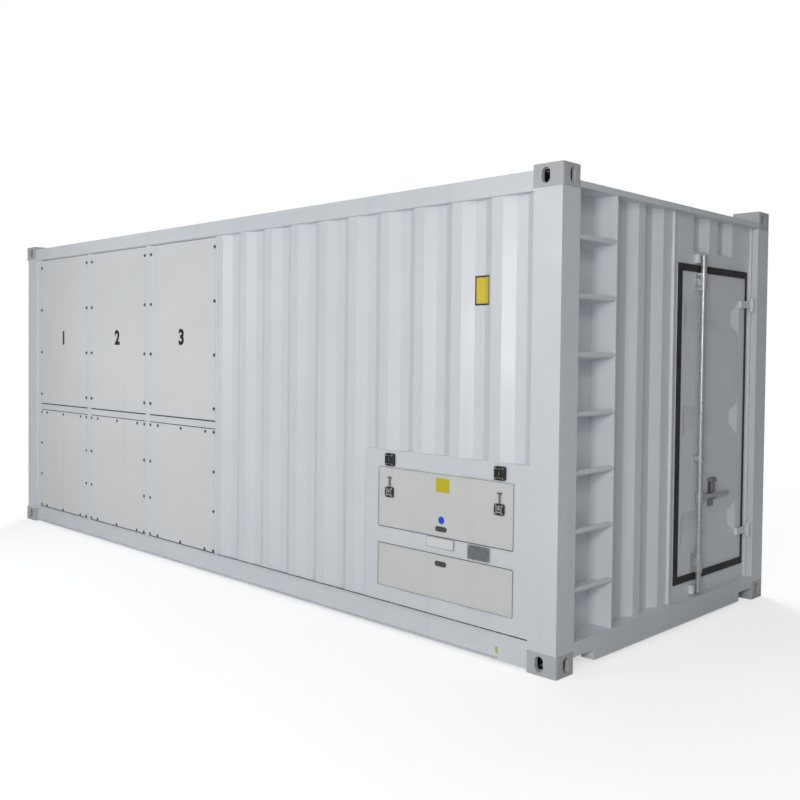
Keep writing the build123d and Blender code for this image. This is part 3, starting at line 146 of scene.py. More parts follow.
def seam_tree():
    """Weld seam: beads of uneven size set along the edges of a mesh."""
    tree = bpy.data.node_groups.new("weld_seam", "GeometryNodeTree")
    node_input(tree, "Path", "NodeSocketGeometry")
    node_input(tree, "Bead Size", "NodeSocketFloat")
    node_input(tree, "Bead Pitch", "NodeSocketFloat")
    node_input(tree, "Unevenness", "NodeSocketFloat")
    node_input(tree, "Seed", "NodeSocketInt")
    node_input(tree, "Finish", "NodeSocketMaterial")
    tree.interface.new_socket(name="Seam", in_out="OUTPUT", socket_type="NodeSocketGeometry")
    given = tree.nodes.new("NodeGroupInput")
    line = tree.nodes.new("GeometryNodeMeshToCurve")
    steps = tree.nodes.new("GeometryNodeResampleCurve")
    steps.mode = "LENGTH"
    bead = tree.nodes.new("GeometryNodeMeshIcoSphere")
    bead.inputs["Subdivisions"].default_value = 2
    smooth = tree.nodes.new("GeometryNodeSetShadeSmooth")
    laid = tree.nodes.new("GeometryNodeInstanceOnPoints")
    least = tree.nodes.new("ShaderNodeMath")
    least.operation = "SUBTRACT"
    least.inputs[0].default_value = 1.0
    size = tree.nodes.new("FunctionNodeRandomValue")
    size.data_type = "FLOAT"
    size.inputs[3].default_value = 1.0
    solid = tree.nodes.new("GeometryNodeRealizeInstances")
    finish = tree.nodes.new("GeometryNodeSetMaterial")
    out = tree.nodes.new("NodeGroupOutput")
    for a, b in ((given.outputs["Path"], line.inputs[0]), (line.outputs[0], steps.inputs["Curve"]),
                 (given.outputs["Bead Pitch"], steps.inputs["Length"]),
                 (given.outputs["Bead Size"], bead.inputs["Radius"]), (bead.outputs["Mesh"], smooth.inputs["Geometry"]),
                 (steps.outputs[0], laid.inputs["Points"]), (smooth.outputs[0], laid.inputs["Instance"]),
                 (given.outputs["Unevenness"], least.inputs[1]), (least.outputs[0], size.inputs[2]),
                 (given.outputs["Seed"], size.inputs["Seed"]), (size.outputs[1], laid.inputs["Scale"]),
                 (laid.outputs[0], solid.inputs[0]), (solid.outputs[0], finish.inputs["Geometry"]),
                 (given.outputs["Finish"], finish.inputs["Material"]), (finish.outputs[0], out.inputs[0])):
        tree.links.new(a, b)
    return tree


def settle(name, mesh, body):
    """A finished mesh as a piece that rides on a body."""
    piece = bpy.data.objects.new(name, mesh)
    bpy.context.scene.collection.objects.link(piece)
    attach(piece, body)
    return piece


def grown(name, points, edges, tree, values, body):
    """What a node tree makes of points and edges, as a plain mesh."""
    mesh = bpy.data.meshes.new(name + "_path")
    mesh.from_pydata(points, edges, [])
    seed = bpy.data.objects.new(name + "_path", mesh)
    bpy.context.scene.collection.objects.link(seed)
    tool = seed.modifiers.new("tool", "NODES")
    tool.node_group = tree
    for item in tree.interface.items_tree:
        if item.in_out == "INPUT" and item.name in values:
            tool[item.identifier] = values[item.name]
    bpy.context.view_layer.update()
    made = bpy.data.meshes.new_from_object(seed.evaluated_get(bpy.context.evaluated_depsgraph_get()))
    made.name = name
    seed.modifiers.remove(tool)
    bpy.data.objects.remove(seed)
    return settle(name, made, body)


body_white = sprayed_paint("body_white", (0.74, 0.775, 0.81), (0.70, 0.74, 0.78), 0.33, 0.25, 0.22, 0.12)
coat(body_white, "corner_posts", "top_side_rails", "bottom_side_rails", "end_headers", "end_sills")

weld_seam = seam_tree()
cast_low, cast_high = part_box("corner_castings")
casting_l, casting_w, casting_h = 0.178, 0.162, 0.118
setback = 0.003
hinge_setback = 0.028       # clear of the cargo doors' hinges
for end in (-1, 1):
    seam, joins = [], []
    for side in (-1, 1):
        for z in (cast_low[2] + casting_h, cast_high[2] - casting_h):
            x0 = end * (cast_high[0] - casting_l)
            x1 = end * (cast_high[0] - (setback if end > 0 else hinge_setback))
            y0, y1 = side * (cast_high[1] - casting_w), side * (cast_high[1] - setback)
            n = len(seam)
            seam += [(x0, y1, z), (x1, y1, z), (x1, y0, z)]
            joins += [(n, n + 1), (n + 1, n + 2)]
    grown(f"casting_welds_{'front' if end > 0 else 'rear'}", seam, joins, weld_seam,
          {"Bead Size": 0.0028, "Bead Pitch": 0.004, "Unevenness": 0.35, "Seed": 3, "Finish": body_white},
          "container")

# ---- corner castings -----------------------------------------------------------
# Cast steel blocks with three oval apertures for twist locks and hooks. The
# paint is knocked off their edges, and the hollow of each casting is coloured near black as painted shade.


def casting_paint():
    """White paint chipped at the edges, with painted shade: the hollow coloured near black."""
    material = sprayed_paint("casting_white", (0.56, 0.58, 0.60), (0.49, 0.51, 0.53), 0.42, 0.5, 0.5)
    tree = material.node_tree
    shader = tree.nodes["Principled BSDF"]
    paint = shader.inputs["Base Color"].links[0].from_socket
    place = tree.nodes.new("ShaderNodeTexCoord")
    rounded = tree.nodes.new("ShaderNodeBevel")
    rounded.samples = 4
    rounded.inputs["Radius"].default_value = 0.006
    flat = tree.nodes.new("ShaderNodeNewGeometry")
    facing = tree.nodes.new("ShaderNodeVectorMath")
    facing.operation = "DOT_PRODUCT"
    tree.links.new(rounded.outputs[0], facing.inputs[0])
    tree.links.new(flat.outputs["Normal"], facing.inputs[1])
    edge = spread(tree, facing.outputs["Value"], 0.99, 0.86, 0.0, 1.0)
    chips = spread(tree, grain(tree, 38, 6), 0.50, 0.60, 0.0, 0.85)
    worn = blend(tree, product(tree, edge, chips), paint, (0.16, 0.14, 0.125))
    middle = tree.nodes.new("ShaderNodeVectorMath")
    middle.operation = "SUBTRACT"
    middle.inputs[1].default_value = (0, 0, cast_high[2] / 2)
    tree.links.new(place.outputs["Object"], middle.inputs[0])
    corner = middle.outputs[0]
    for operation, value in (("ABSOLUTE", None),
                             ("SUBTRACT", (cast_high[0] - casting_l / 2, cast_high[1] - casting_w / 2,
                                           cast_high[2] / 2 - casting_h / 2)), ("ABSOLUTE", None)):
        step = tree.nodes.new("ShaderNodeVectorMath")
        step.operation = operation
        tree.links.new(corner, step.inputs[0])
        if value is not None:
            step.inputs[1].default_value = value
        corner = step.outputs[0]
    axes = tree.nodes.new("ShaderNodeSeparateXYZ")
    tree.links.new(corner, axes.inputs[0])
    # painted shade: the faces of the hollow are coloured near black
    hollow_shade = None
    wall, fade = 0.026, 0.002
    for axis, size in (("X", casting_l), ("Y", casting_w), ("Z", casting_h)):
        reach = size / 2 - wall
        near = spread(tree, axes.outputs[axis], reach + fade, reach, 0.0, 1.0)
        hollow_shade = near if hollow_shade is None else product(tree, hollow_shade, near)
    # painted shade laid over the paint in the hollow
    tree.links.new(blend(tree, hollow_shade, worn, (0.012, 0.011, 0.010)), shader.inputs["Base Color"])
    return material


coat(casting_paint(), "corner_castings")

# ---- floor ------------------------------------------------------------------------
# Channel cross members under a deck of steel chequer plate, both painted grey.


def chequer_paint():
    """Grey paint over raised lozenges."""
    material = sprayed_paint("deck_grey", (0.22, 0.23, 0.24), (0.17, 0.18, 0.19), 0.55, 0.6, 0.6)
    tree = material.node_tree
    place = tree.nodes.new("ShaderNodeTexCoord")
    lozenges = tree.nodes.new("ShaderNodeTexBrick")
    lozenges.offset = 0.5
    lozenges.inputs["Scale"].default_value = 22.0
    lozenges.inputs["Mortar Size"].default_value = 0.12
    lozenges.inputs["Mortar Smooth"].default_value = 0.6
    tree.links.new(place.outputs["Object"], lozenges.inputs["Vector"])
    relief(tree, [(lozenges.outputs["Fac"], 0.5, 0.003), (grain(tree, 90, 3), 0.3, 0.001)])
    return material


coat(chequer_paint(), "floor_deck")
coat(sprayed_paint("frame_grey", (0.58, 0.60, 0.62), (0.50, 0.52, 0.54), 0.5, 0.4, 0.3, 0.8), "cross_members")

# ---- corrugated walls and roof ---------------------------------------------------------
# Steel sheet pressed into deep troughs, welded to the rails and posts, with a
# line of seam sealer in the joint to the post, coloured lighter than the wall as a painted highlight.

coat(body_white, "side_wall", "far_side_wall", "roof_panel")
coat(body_white, "roof_hatch_1", "roof_hatch_2", "roof_hatch_3")

# painted highlight: the sealer is coloured lighter than the wall paint so that the joint shows as a bright line
sealer_white_highlight = sprayed_paint("sealer_white_highlight", (0.86, 0.87, 0.88), (0.80, 0.81, 0.82), 0.16, 0.1, 0.1, 0.0)
wall_low, wall_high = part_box("side_wall")
panel_low, panel_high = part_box("control_frame")
rail_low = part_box("top_side_rails")[0]
joint_x = wall_high[0] - 0.002
joint_y = wall_low[1] - 0.002
frame_joint_y = joint_y + 0.001
foot_z = wall_low[2] + 0.004
grown("wall_joint_sealer", [(joint_x, joint_y, foot_z), (joint_x, joint_y, rail_low[2])], [(0, 1)],
      weld_seam, {"Bead Size": 0.0048, "Bead Pitch": 0.011, "Unevenness": 0.8, "Seed": 11, "Finish": sealer_white_highlight},
      "container")
grown("panel_joint_sealer", [(panel_low[0], frame_joint_y, foot_z), (panel_low[0], frame_joint_y, panel_high[2]),
                             (wall_high[0], frame_joint_y, panel_high[2])], [(0, 1), (1, 2)],
      weld_seam, {"Bead Size": 0.0026, "Bead Pitch": 0.0035, "Unevenness": 0.4, "Seed": 12, "Finish": body_white},
      "container")

# ---- ladder end ---------------------------------------------------------------------------
# A recessed shelf and a tube for each rung, welded between the post and the
# stile plate, beside the corrugated end wall.

coat(body_white, "end_wall", "ladder_rungs", "door_frame")

# ---- service door ------------------------------------------------------------------------
# A pressed steel leaf in a rubber gasket that shows as a black line all round,
# on two welded strap hinges.


def moulded(name, colour, shade, roughness, grit, relief_depth):
    """Rubber, plastic or ink: a grainy skin with a faint bloom."""
    material, tree, shader = principled(name)
    bloom = spread(tree, grain(tree, 9, 5), 0.35, 0.7, 0.0, 1.0)
    tree.links.new(blend(tree, bloom, colour, shade), shader.inputs["Base Color"])
    sheen = spread(tree, grain(tree, 25, 2), 0.3, 0.7, roughness - 0.05, roughness + 0.07)
    tree.links.new(sheen, shader.inputs["Roughness"])
    relief(tree, [(grain(tree, grit, 3), 0.4, relief_depth)])
    return material


black_rubber = moulded("black_rubber", (0.018, 0.018, 0.02), (0.035, 0.035, 0.036), 0.6, 300, 0.0005)
coat(body_white, "hinge_pins", "service_door", "service_door_hinges")
coat(black_rubber, "service_door_gasket")

# ---- door lock bar --------------------------------------------------------------------------
# A hot dip galvanised tube with forged cams, turned by a long handle. Its
# brackets are pressed straps held by domed bolts on both sides of the tube.


def zinc(name, colour, shade, roughness, spangle, metallic=0.85):
    """Galvanised or plain metal: crystals of zinc, a fine grainy relief, uneven roughness and dull patches."""
    material, tree, shader = principled(name)
    shader.inputs["Metallic"].default_value = metallic
    place = tree.nodes.new("ShaderNodeTexCoord")
    crystals = tree.nodes.new("ShaderNodeTexVoronoi")
    crystals.inputs["Scale"].default_value = spangle
    tree.links.new(place.outputs["Object"], crystals.inputs["Vector"])
    grey = tree.nodes.new("ShaderNodeSeparateColor")
    tree.links.new(crystals.outputs["Color"], grey.inputs[0])
    facet = spread(tree, grey.outputs[0], 0.0, 1.0, 0.0, 0.8)
    base = blend(tree, facet, colour, shade)
    dull = spread(tree, grain(tree, 55, 5), 0.50, 0.78, 0.0, 0.35)
    tree.links.new(blend(tree, dull, base, tuple(0.45 * c for c in shade)), shader.inputs["Base Color"])
    sheen = spread(tree, grain(tree, 40, 3), 0.3, 0.7, roughness - 0.06, roughness + 0.14)
    tree.links.new(sheen, shader.inputs["Roughness"])
    relief(tree, [(grain(tree, 160, 4), 0.35, 0.0008)])
    return material


galvanised = zinc("galvanised", (0.58, 0.60, 0.61), (0.44, 0.46, 0.47), 0.34, 130, 0.55)
dull_zinc = zinc("dull_zinc", (0.36, 0.37, 0.38), (0.24, 0.25, 0.26), 0.42, 150, 0.6)
dark_steel = zinc("dark_steel", (0.16, 0.16, 0.17), (0.09, 0.09, 0.10), 0.45, 200, 0.7)
coat(galvanised, "service_door_lock_bar", "service_door_bar_brackets")
coat(dull_zinc, "handle_catch", "handle_hasp")


def bolt_tree():
    """Bolt heads on points: a washer, a head with any number of sides and a low dome."""
    tree = bpy.data.node_groups.new("bolt_heads", "GeometryNodeTree")
    node_input(tree, "Places", "NodeSocketGeometry")
    node_input(tree, "Head Radius", "NodeSocketFloat")
    node_input(tree, "Head Height", "NodeSocketFloat")
    node_input(tree, "Sides", "NodeSocketInt")
    node_input(tree, "Washer Radius", "NodeSocketFloat")
    node_input(tree, "Washer Height", "NodeSocketFloat")
    node_input(tree, "Turn", "NodeSocketVector")
    node_input(tree, "Finish", "NodeSocketMaterial")
    tree.interface.new_socket(name="Bolts", in_out="OUTPUT", socket_type="NodeSocketGeometry")
    given = tree.nodes.new("NodeGroupInput")
    head = tree.nodes.new("GeometryNodeMeshCylinder")
    washer = tree.nodes.new("GeometryNodeMeshCylinder")
    washer.inputs["Vertices"].default_value = 16
    dome = tree.nodes.new("GeometryNodeMeshUVSphere")
    dome.inputs["Segments"].default_value = 12
    dome.inputs["Rings"].default_value = 6
    flatten = tree.nodes.new("ShaderNodeCombineXYZ")
    ratio = tree.nodes.new("ShaderNodeMath")
    ratio.operation = "DIVIDE"
    low_dome = tree.nodes.new("ShaderNodeMath")
    low_dome.operation = "MULTIPLY"
    low_dome.inputs[1].default_value = 0.9
    cap = tree.nodes.new("GeometryNodeTransform")
    smooth = tree.nodes.new("GeometryNodeSetShadeSmooth")
    joined = tree.nodes.new("GeometryNodeJoinGeometry")
    turn = tree.nodes.new("FunctionNodeEulerToRotation")
    laid = tree.nodes.new("GeometryNodeInstanceOnPoints")
    solid = tree.nodes.new("GeometryNodeRealizeInstances")
    finish = tree.nodes.new("GeometryNodeSetMaterial")
    out = tree.nodes.new("NodeGroupOutput")
    flatten.inputs["X"].default_value = 0.92
    flatten.inputs["Y"].default_value = 0.92
    for a, b in ((given.outputs["Head Radius"], head.inputs["Radius"]),
                 (given.outputs["Head Height"], head.inputs["Depth"]),
                 (given.outputs["Sides"], head.inputs["Vertices"]),
                 (given.outputs["Washer Radius"], washer.inputs["Radius"]),
                 (given.outputs["Washer Height"], washer.inputs["Depth"]),
                 (given.outputs["Head Radius"], dome.inputs["Radius"]),
                 (given.outputs["Head Height"], ratio.inputs[0]), (given.outputs["Head Radius"], ratio.inputs[1]),
                 (ratio.outputs[0], low_dome.inputs[0]), (low_dome.outputs[0], flatten.inputs["Z"]),
                 (dome.outputs["Mesh"], cap.inputs["Geometry"]), (flatten.outputs[0], cap.inputs["Scale"]),
                 (cap.outputs[0], smooth.inputs["Geometry"]), (smooth.outputs[0], joined.inputs[0]),
                 (head.outputs["Mesh"], joined.inputs[0]), (washer.outputs["Mesh"], joined.inputs[0]),
                 (given.outputs["Places"], laid.inputs["Points"]), (joined.outputs[0], laid.inputs["Instance"]),
                 (given.outputs["Turn"], turn.inputs[0]), (turn.outputs[0], laid.inputs["Rotation"]),
                 (laid.outputs[0], solid.inputs[0]), (solid.outputs[0], finish.inputs["Geometry"]),
                 (given.outputs["Finish"], finish.inputs["Material"]), (finish.outputs[0], out.inputs[0])):
        tree.links.new(a, b)
    return tree


bolt_heads = bolt_tree()
facing_end = (0.0, math.pi / 2, 0.0)      # bolt axis along X
facing_side = (math.pi / 2, 0.0, 0.0)     # bolt axis along Y
low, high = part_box("service_door_bar_brackets")
door_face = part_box("service_door")[1][0]
bolt_in = 0.022
strap = 0.010
places = [(door_face + strap, y, z) for y in (low[1] + bolt_in, high[1] - bolt_in)
          for z in (low[2] + 0.025, low[2] + 0.095, high[2] - 0.082, high[2] - 0.023)]
grown("bar_bracket_bolts", places, [], bolt_heads,
      {"Head Radius": 0.009, "Head Height": 0.010, "Sides": 16, "Washer Radius": 0.012, "Washer Height": 0.006,
       "Turn": facing_end, "Finish": galvanised}, "service_door")

# ---- load covers -------------------------------------------------------------------------------
# Flat covers of folded sheet, powder coated in a warmer satin grey, held all round by blackened bolts.
# Black strips in the gaps round them are partly foam seals and partly painted shade. Each upper cover has a painted
# numeral.

cover_grey = sprayed_paint("cover_grey", (0.71, 0.72, 0.715), (0.675, 0.685, 0.68), 0.42, 0.35, 0.10)
coat(body_white, "cover_frame")
cover_white = sprayed_paint("cover_white", (0.76, 0.775, 0.785), (0.725, 0.74, 0.75), 0.42, 0.35, 0.10)
coat(cover_white, "upper_covers", "lower_cover_1", "lower_cover_2", "lower_cover_3")
coat(dark_steel, "upper_cover_bolts")

# near black moulding: real mastic and seals, and painted shade in the gaps round the covers and flaps
seal_foam_and_gap_shade = moulded("seal_foam_and_gap_shade", (0.045, 0.045, 0.046), (0.07, 0.07, 0.07), 0.8, 400, 0.001)
black_ink = moulded("black_ink", (0.012, 0.012, 0.014), (0.02, 0.02, 0.022), 0.35, 500, 0.0001)
upper_low, upper_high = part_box("upper_covers")


def mesh_of(shape, name, *materials):
    """The finished shape as a mesh with its materials."""
    mesh = bpy.data.meshes.new(name)
    shape.to_mesh(mesh)
    shape.free()
    for material in materials:
        mesh.materials.append(material)
    return mesh


def bar_mesh(name, bars, material, bevel):
    """Straight bars with softened edges: (x0, x1, y0, y1, z0, z1) each."""
    shape = bmesh.new()
    for x0, x1, y0, y1, z0, z1 in bars:
        corners = bmesh.ops.create_cube(shape, size=1.0)["verts"]
        for v in corners:
            v.co = ((x0 + x1) / 2 + v.co.x * (x1 - x0), (y0 + y1) / 2 + v.co.y * (y1 - y0),
                    (z0 + z1) / 2 + v.co.z * (z1 - z0))
    if bevel:
        bmesh.ops.bevel(shape, geom=shape.edges[:], offset=bevel, segments=2, profile=0.6, affect="EDGES")
    return mesh_of(shape, name, material)


# black strips in the gaps round each cover: partly foam seal, partly painted shade in the gaps
frame_face = upper_low[1] + 0.004
seal_out = 0.0022
bars = []
for k in (1, 2, 3):
    lower_low, lower_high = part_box(f"lower_cover_{k}")
    x0, x1 = lower_low[0], lower_high[0]
    for z0, z1 in ((upper_high[2] + 0.0005, upper_high[2] + 0.005), (upper_low[2] - 0.010, upper_low[2] - 0.0005),
                   (lower_high[2] + 0.0005, lower_high[2] + 0.006), (lower_low[2] - 0.0065, lower_low[2] - 0.0005)):
        bars.append((x0, x1, frame_face - seal_out, frame_face, z0, z1))
settle("cover_seals_and_gap_shade", bar_mesh("cover_seals_and_gap_shade", bars, seal_foam_and_gap_shade, 0.0006), "container")

# rough mastic on the rail, in the joint under the side sheets
rail_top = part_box("bottom_side_rails")[1][2] + 0.002
grown("rail_mastic", [(wall_low[0], wall_low[1] - 0.001, rail_top), (wall_high[0], wall_low[1] - 0.001, rail_top)],
      [(0, 1)], weld_seam,
      {"Bead Size": 0.0036, "Bead Pitch": 0.0035, "Unevenness": 0.6, "Seed": 5, "Finish": seal_foam_and_gap_shade},
      "container")

places = []
for k in (1, 2, 3):
    lower_low, lower_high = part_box(f"lower_cover_{k}")
    places += [(x, upper_low[1], upper_low[2] + 0.084 + n * (upper_high[2] - upper_low[2] - 0.151) / 3)
               for x in (lower_low[0] + 0.013, lower_high[0] - 0.013) for n in range(4)]
grown("upper_bolt_washers", places, [], bolt_heads,
      {"Head Radius": 0.0095, "Head Height": 0.012, "Sides": 6, "Washer Radius": 0.0130, "Washer Height": 0.003,
       "Turn": facing_side, "Finish": dark_steel}, "container")

edge_bolt, inner_bolt = 0.013, 0.324
for k in (1, 2, 3):
    lower_low, lower_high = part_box(f"lower_cover_{k}")
    face = lower_low[1]
    middle = (lower_low[0] + lower_high[0]) / 2
    z_low, z_high = lower_low[2] + 0.010, lower_high[2] - 0.021
    rows = [z_low + n * (z_high - z_low) / 3 for n in range(4)]
    places = [(x, face, z) for x in (lower_low[0] + edge_bolt, lower_high[0] - edge_bolt) for z in rows]
    places += [(middle + step, face, z) for step in (-inner_bolt, 0, inner_bolt) for z in (z_low, z_high)]
    grown(f"lower_cover_bolts_{k}", places, [], bolt_heads,
          {"Head Radius": 0.0095, "Head Height": 0.007, "Sides": 16, "Washer Radius": 0.0125, "Washer Height": 0.002,
           "Turn": facing_side, "Finish": dark_steel}, f"lower_cover_{k}")

numeral_low, numeral_high = 1.671, 1.795
ink_scale = 0.15
for k in (1, 2, 3):
    lower_low, lower_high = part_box(f"lower_cover_{k}")
    words = bpy.data.curves.new(f"numeral_{k}", "FONT")
    words.body = str(4 - k)
    words.extrude = 0.002
    words.offset = 0.045
    holder = bpy.data.objects.new(f"numeral_{k}_flat", words)
    bpy.context.scene.collection.objects.link(holder)
    bpy.context.view_layer.update()
    mesh = bpy.data.meshes.new_from_object(holder.evaluated_get(bpy.context.evaluated_depsgraph_get()))
    bpy.data.objects.remove(holder)
    left, right = min(v.co.x for v in mesh.vertices), max(v.co.x for v in mesh.vertices)
    foot, top = min(v.co.y for v in mesh.vertices), max(v.co.y for v in mesh.vertices)
    size = (numeral_high - numeral_low) / (top - foot)
    middle = (lower_low[0] + lower_high[0]) / 2
    for v in mesh.vertices:
        v.co = (middle + (v.co.x - (left + right) / 2) * size, upper_low[1] - v.co.z * ink_scale,
                numeral_low + (v.co.y - foot) * size)
    mesh.materials.clear()
    mesh.materials.append(black_ink)
    settle(f"numeral_{k}", mesh, "container")

# ---- load modules ------------------------------------------------------------------------------------
# Galvanised partitions carry ribbon resistors in racks; a fan in a sheet ring
# with an alloy impeller blows from the louvred floor intake up through them.

sheet_zinc = zinc("sheet_zinc", (0.60, 0.62, 0.63), (0.50, 0.52, 0.53), 0.42, 45)
coat(sheet_zinc, "module_partitions", "intake_louvres", "fan_housings", "exhaust_grilles")
coat(zinc("heated_ribbon", (0.42, 0.36, 0.30), (0.26, 0.24, 0.27), 0.45, 30), "resistor_elements")
coat(zinc("cast_alloy", (0.68, 0.69, 0.70), (0.58, 0.59, 0.60), 0.42, 300), "fan_impeller_1", "fan_impeller_2",
     "fan_impeller_3")
coat(sprayed_paint("motor_grey", (0.15, 0.19, 0.24), (0.12, 0.155, 0.20), 0.4, 0.9, 0.01), "fan_motors")

# ---- control flaps -----------------------------------------------------------------------------------
# Two flaps of folded sheet in the cover grey, hung in a welded frame. Draw
# latches of black moulding hold the upper one; both have a flush black cup.

latch_black = moulded("latch_black", (0.014, 0.014, 0.016), (0.03, 0.03, 0.032), 0.38, 350, 0.0004)
bright_steel = zinc("bright_steel", (0.70, 0.70, 0.69), (0.56, 0.56, 0.55), 0.28, 240)
tee_steel = zinc("tee_steel", (0.30, 0.28, 0.26), (0.22, 0.21, 0.20), 0.38, 240)
coat(body_white, "control_frame", "control_box", "control_panel")
coat(cover_grey, "upper_flap", "lower_flap")
coat(latch_black, "flap_keepers", "latch_boxes")
coat(tee_steel, "latch_tee_1", "latch_tee_2")
coat(dark_steel, "upper_flap_handle", "lower_flap_handle")

half_w, pocket_r, cup_r = 0.0465, 0.019, 0.0137
flange_r, lip_r = pocket_r + 0.003, cup_r + 0.0012
round_steps = 32
for flap in ("upper_flap", "lower_flap"):
    paddle_low, paddle_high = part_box(flap + "_handle")
    middle_x = (paddle_low[0] + paddle_high[0]) / 2
    middle_z = (paddle_low[2] + paddle_high[2]) / 2
    face = paddle_low[1]
    for part, profile, finish in (
            ("cup_flange", ((flange_r, face + 0.0002), (flange_r, face - 0.0007),
                            (lip_r, face - 0.0007), (lip_r, face + 0.0006)), cover_grey),
            ("cup", ((lip_r, face + 0.0002), (lip_r, face - 0.0012), (cup_r, face - 0.0014),
                     (cup_r - 0.0004, face - 0.0004), (cup_r - 0.0005, face + 0.0080)), latch_black)):
        shape = bmesh.new()
        rings = []
        for r, y in profile:
            ring = []
            for n in range(round_steps):
                turn = 2 * math.pi * (n + 0.5) / round_steps
                side = 1 if math.cos(turn) > 0 else -1
                ring.append(shape.verts.new((middle_x + side * (half_w - pocket_r) + r * math.cos(turn), y,
                                             middle_z + r * math.sin(turn))))
            rings.append(ring)
        for a, b in zip(rings, rings[1:]):
            for n in range(round_steps):
                after = (n + 1) % round_steps
                shape.faces.new((a[n], a[after], b[after], b[n]))
        if part == "cup":
            shape.faces.new(rings[-1])
        shape.normal_update()
        shape.faces.ensure_lookup_table()
        if shape.faces[round_steps].normal.y > 0:      # the second ring of faces looks outward
            bmesh.ops.reverse_faces(shape, faces=shape.faces[:])
        settle(f"{flap}_{part}", mesh_of(shape, f"{flap}_{part}", finish), flap)

# black strips in the gap round each flap: painted shadow standing in for the shade in the gaps
bars = []
strip = 0.0015
clear, side_gap = 0.0003, 0.0018
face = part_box("control_frame")[0][1]
for flap, skin_low, skin_high, bottom_gap, top_gap in (("upper_flap", 0.606, 0.956, 0.0035, 0.0015),
                                                       ("lower_flap", 0.254, 0.503, 0.0015, 0.0035)):
    flap_low, flap_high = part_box(flap)
    x0, x1 = flap_low[0], flap_high[0]
    bars.append((x0, x1, face - strip, face, skin_high + clear, skin_high + top_gap))
    bars.append((x0, x1, face - strip, face, skin_low - bottom_gap, skin_low - clear))
    bars.append((x0 - side_gap, x0 - clear, face - strip, face, skin_low, skin_high))
    bars.append((x1 + clear, x1 + side_gap, face - strip, face, skin_low, skin_high))
settle("flap_gap_shade", bar_mesh("flap_gap_shade", bars, seal_foam_and_gap_shade, 0), "container")

# hooks, springs and rivets of the draw latches
latch_low, latch_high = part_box("latch_boxes")
keeper_low, keeper_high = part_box("flap_keepers")
for tee in ("latch_tee_1", "latch_tee_2"):
    tee_low, tee_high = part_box(tee)
    x = (tee_low[0] + tee_high[0]) / 2
    y = latch_low[1]
    bars = [(x - 0.019, x - 0.013, y - 0.0005, y + 0.004, latch_low[2] + 0.006, latch_high[2] - 0.006),
            (x + 0.013, x + 0.019, y - 0.0005, y + 0.004, latch_low[2] + 0.006, latch_high[2] - 0.006),
            (x - 0.013, x + 0.013, y - 0.0005, y + 0.004, latch_low[2] + 0.012, latch_low[2] + 0.018),
            (x - 0.007, x + 0.007, y - 0.0010, y + 0.004, latch_low[2] + 0.026, latch_low[2] + 0.050)]
    settle(f"{tee}_lever", bar_mesh(f"{tee}_lever", bars, bright_steel, 0.0007), "upper_flap")
    y = keeper_low[1]
    bars = [(x - 0.018, x + 0.018, y - 0.0005, y + 0.004, keeper_high[2] - 0.016, keeper_high[2] - 0.011),
            (x - 0.018, x + 0.018, y - 0.0005, y + 0.004, keeper_low[2] + 0.012, keeper_low[2] + 0.017),
            (x - 0.004, x + 0.004, y - 0.0008, y + 0.004, keeper_low[2] + 0.024, keeper_low[2] + 0.050)]
    settle(f"{tee}_keeper_hook", bar_mesh(f"{tee}_keeper_hook", bars, tee_steel, 0.0007), "container")
    grown(f"{tee}_box_rivets", [(x + sx * 0.024, latch_low[1], z) for sx in (-1, 1)
                               for z in (latch_low[2] + 0.009, latch_high[2] - 0.009)], [], bolt_heads,
          {"Head Radius": 0.003, "Head Height": 0.0016, "Sides": 12, "Washer Radius": 0.004, "Washer Height": 0.0006,
           "Turn": facing_side, "Finish": bright_steel}, "upper_flap")
    grown(f"{tee}_keeper_rivets", [(x + sx * 0.026, keeper_low[1], z) for sx in (-1, 1)
                                   for z in (keeper_low[2] + 0.010, keeper_high[2] - 0.010)], [], bolt_heads,
          {"Head Radius": 0.0035, "Head Height": 0.0008, "Sides": 12, "Washer Radius": 0.0045, "Washer Height": 0.0004,
           "Turn": facing_side, "Finish": bright_steel}, "container")

# ---- blank plates and labels -----------------------------------------------------------------------
# Vinyl labels and a riveted aluminium plate, all left without text: the height
# plate on the corrugated wall, two on the upper flap, two on the frame.

label_yellow = moulded("label_yellow", (0.78, 0.60, 0.02), (0.74, 0.56, 0.03), 0.4, 300, 0.0001)
deep_yellow = moulded("deep_yellow", (0.64, 0.54, 0.01), (0.60, 0.50, 0.02), 0.4, 300, 0.0001)
label_blue = moulded("label_blue", (0.015, 0.07, 0.72), (0.02, 0.09, 0.68), 0.35, 300, 0.0001)
label_white = moulded("label_white", (0.80, 0.80, 0.80), (0.76, 0.76, 0.77), 0.35, 300, 0.0001)
label_edge = moulded("label_edge", (0.30, 0.36, 0.50), (0.27, 0.33, 0.46), 0.35, 300, 0.0001)
plate_alloy = zinc("plate_alloy", (0.36, 0.37, 0.37), (0.27, 0.28, 0.28), 0.42, 260)

low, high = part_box("side_wall")
wave_depth = 0.036
crest, trough = low[1], low[1] + wave_depth
trough_end, slope_end = 2.507, 2.575
plate_proud, plate_thick = 0.0012, 0.0008
plate_left, plate_right, plate_low, plate_high, border = 2.436, 2.553, 1.893, 2.054, 0.010
shape = bmesh.new()
columns = [plate_left, plate_left + border, trough_end, plate_right - border, plate_right]
rows = [plate_low, plate_low + border, plate_high - border, plate_high]


def on_sheet(x, z):
    """A point on the trough, or on the slope beside it."""
    climb = max(0.0, min(1.0, (x - trough_end) / (slope_end - trough_end)))
    return (x, trough + (crest - trough) * climb - plate_proud, z)


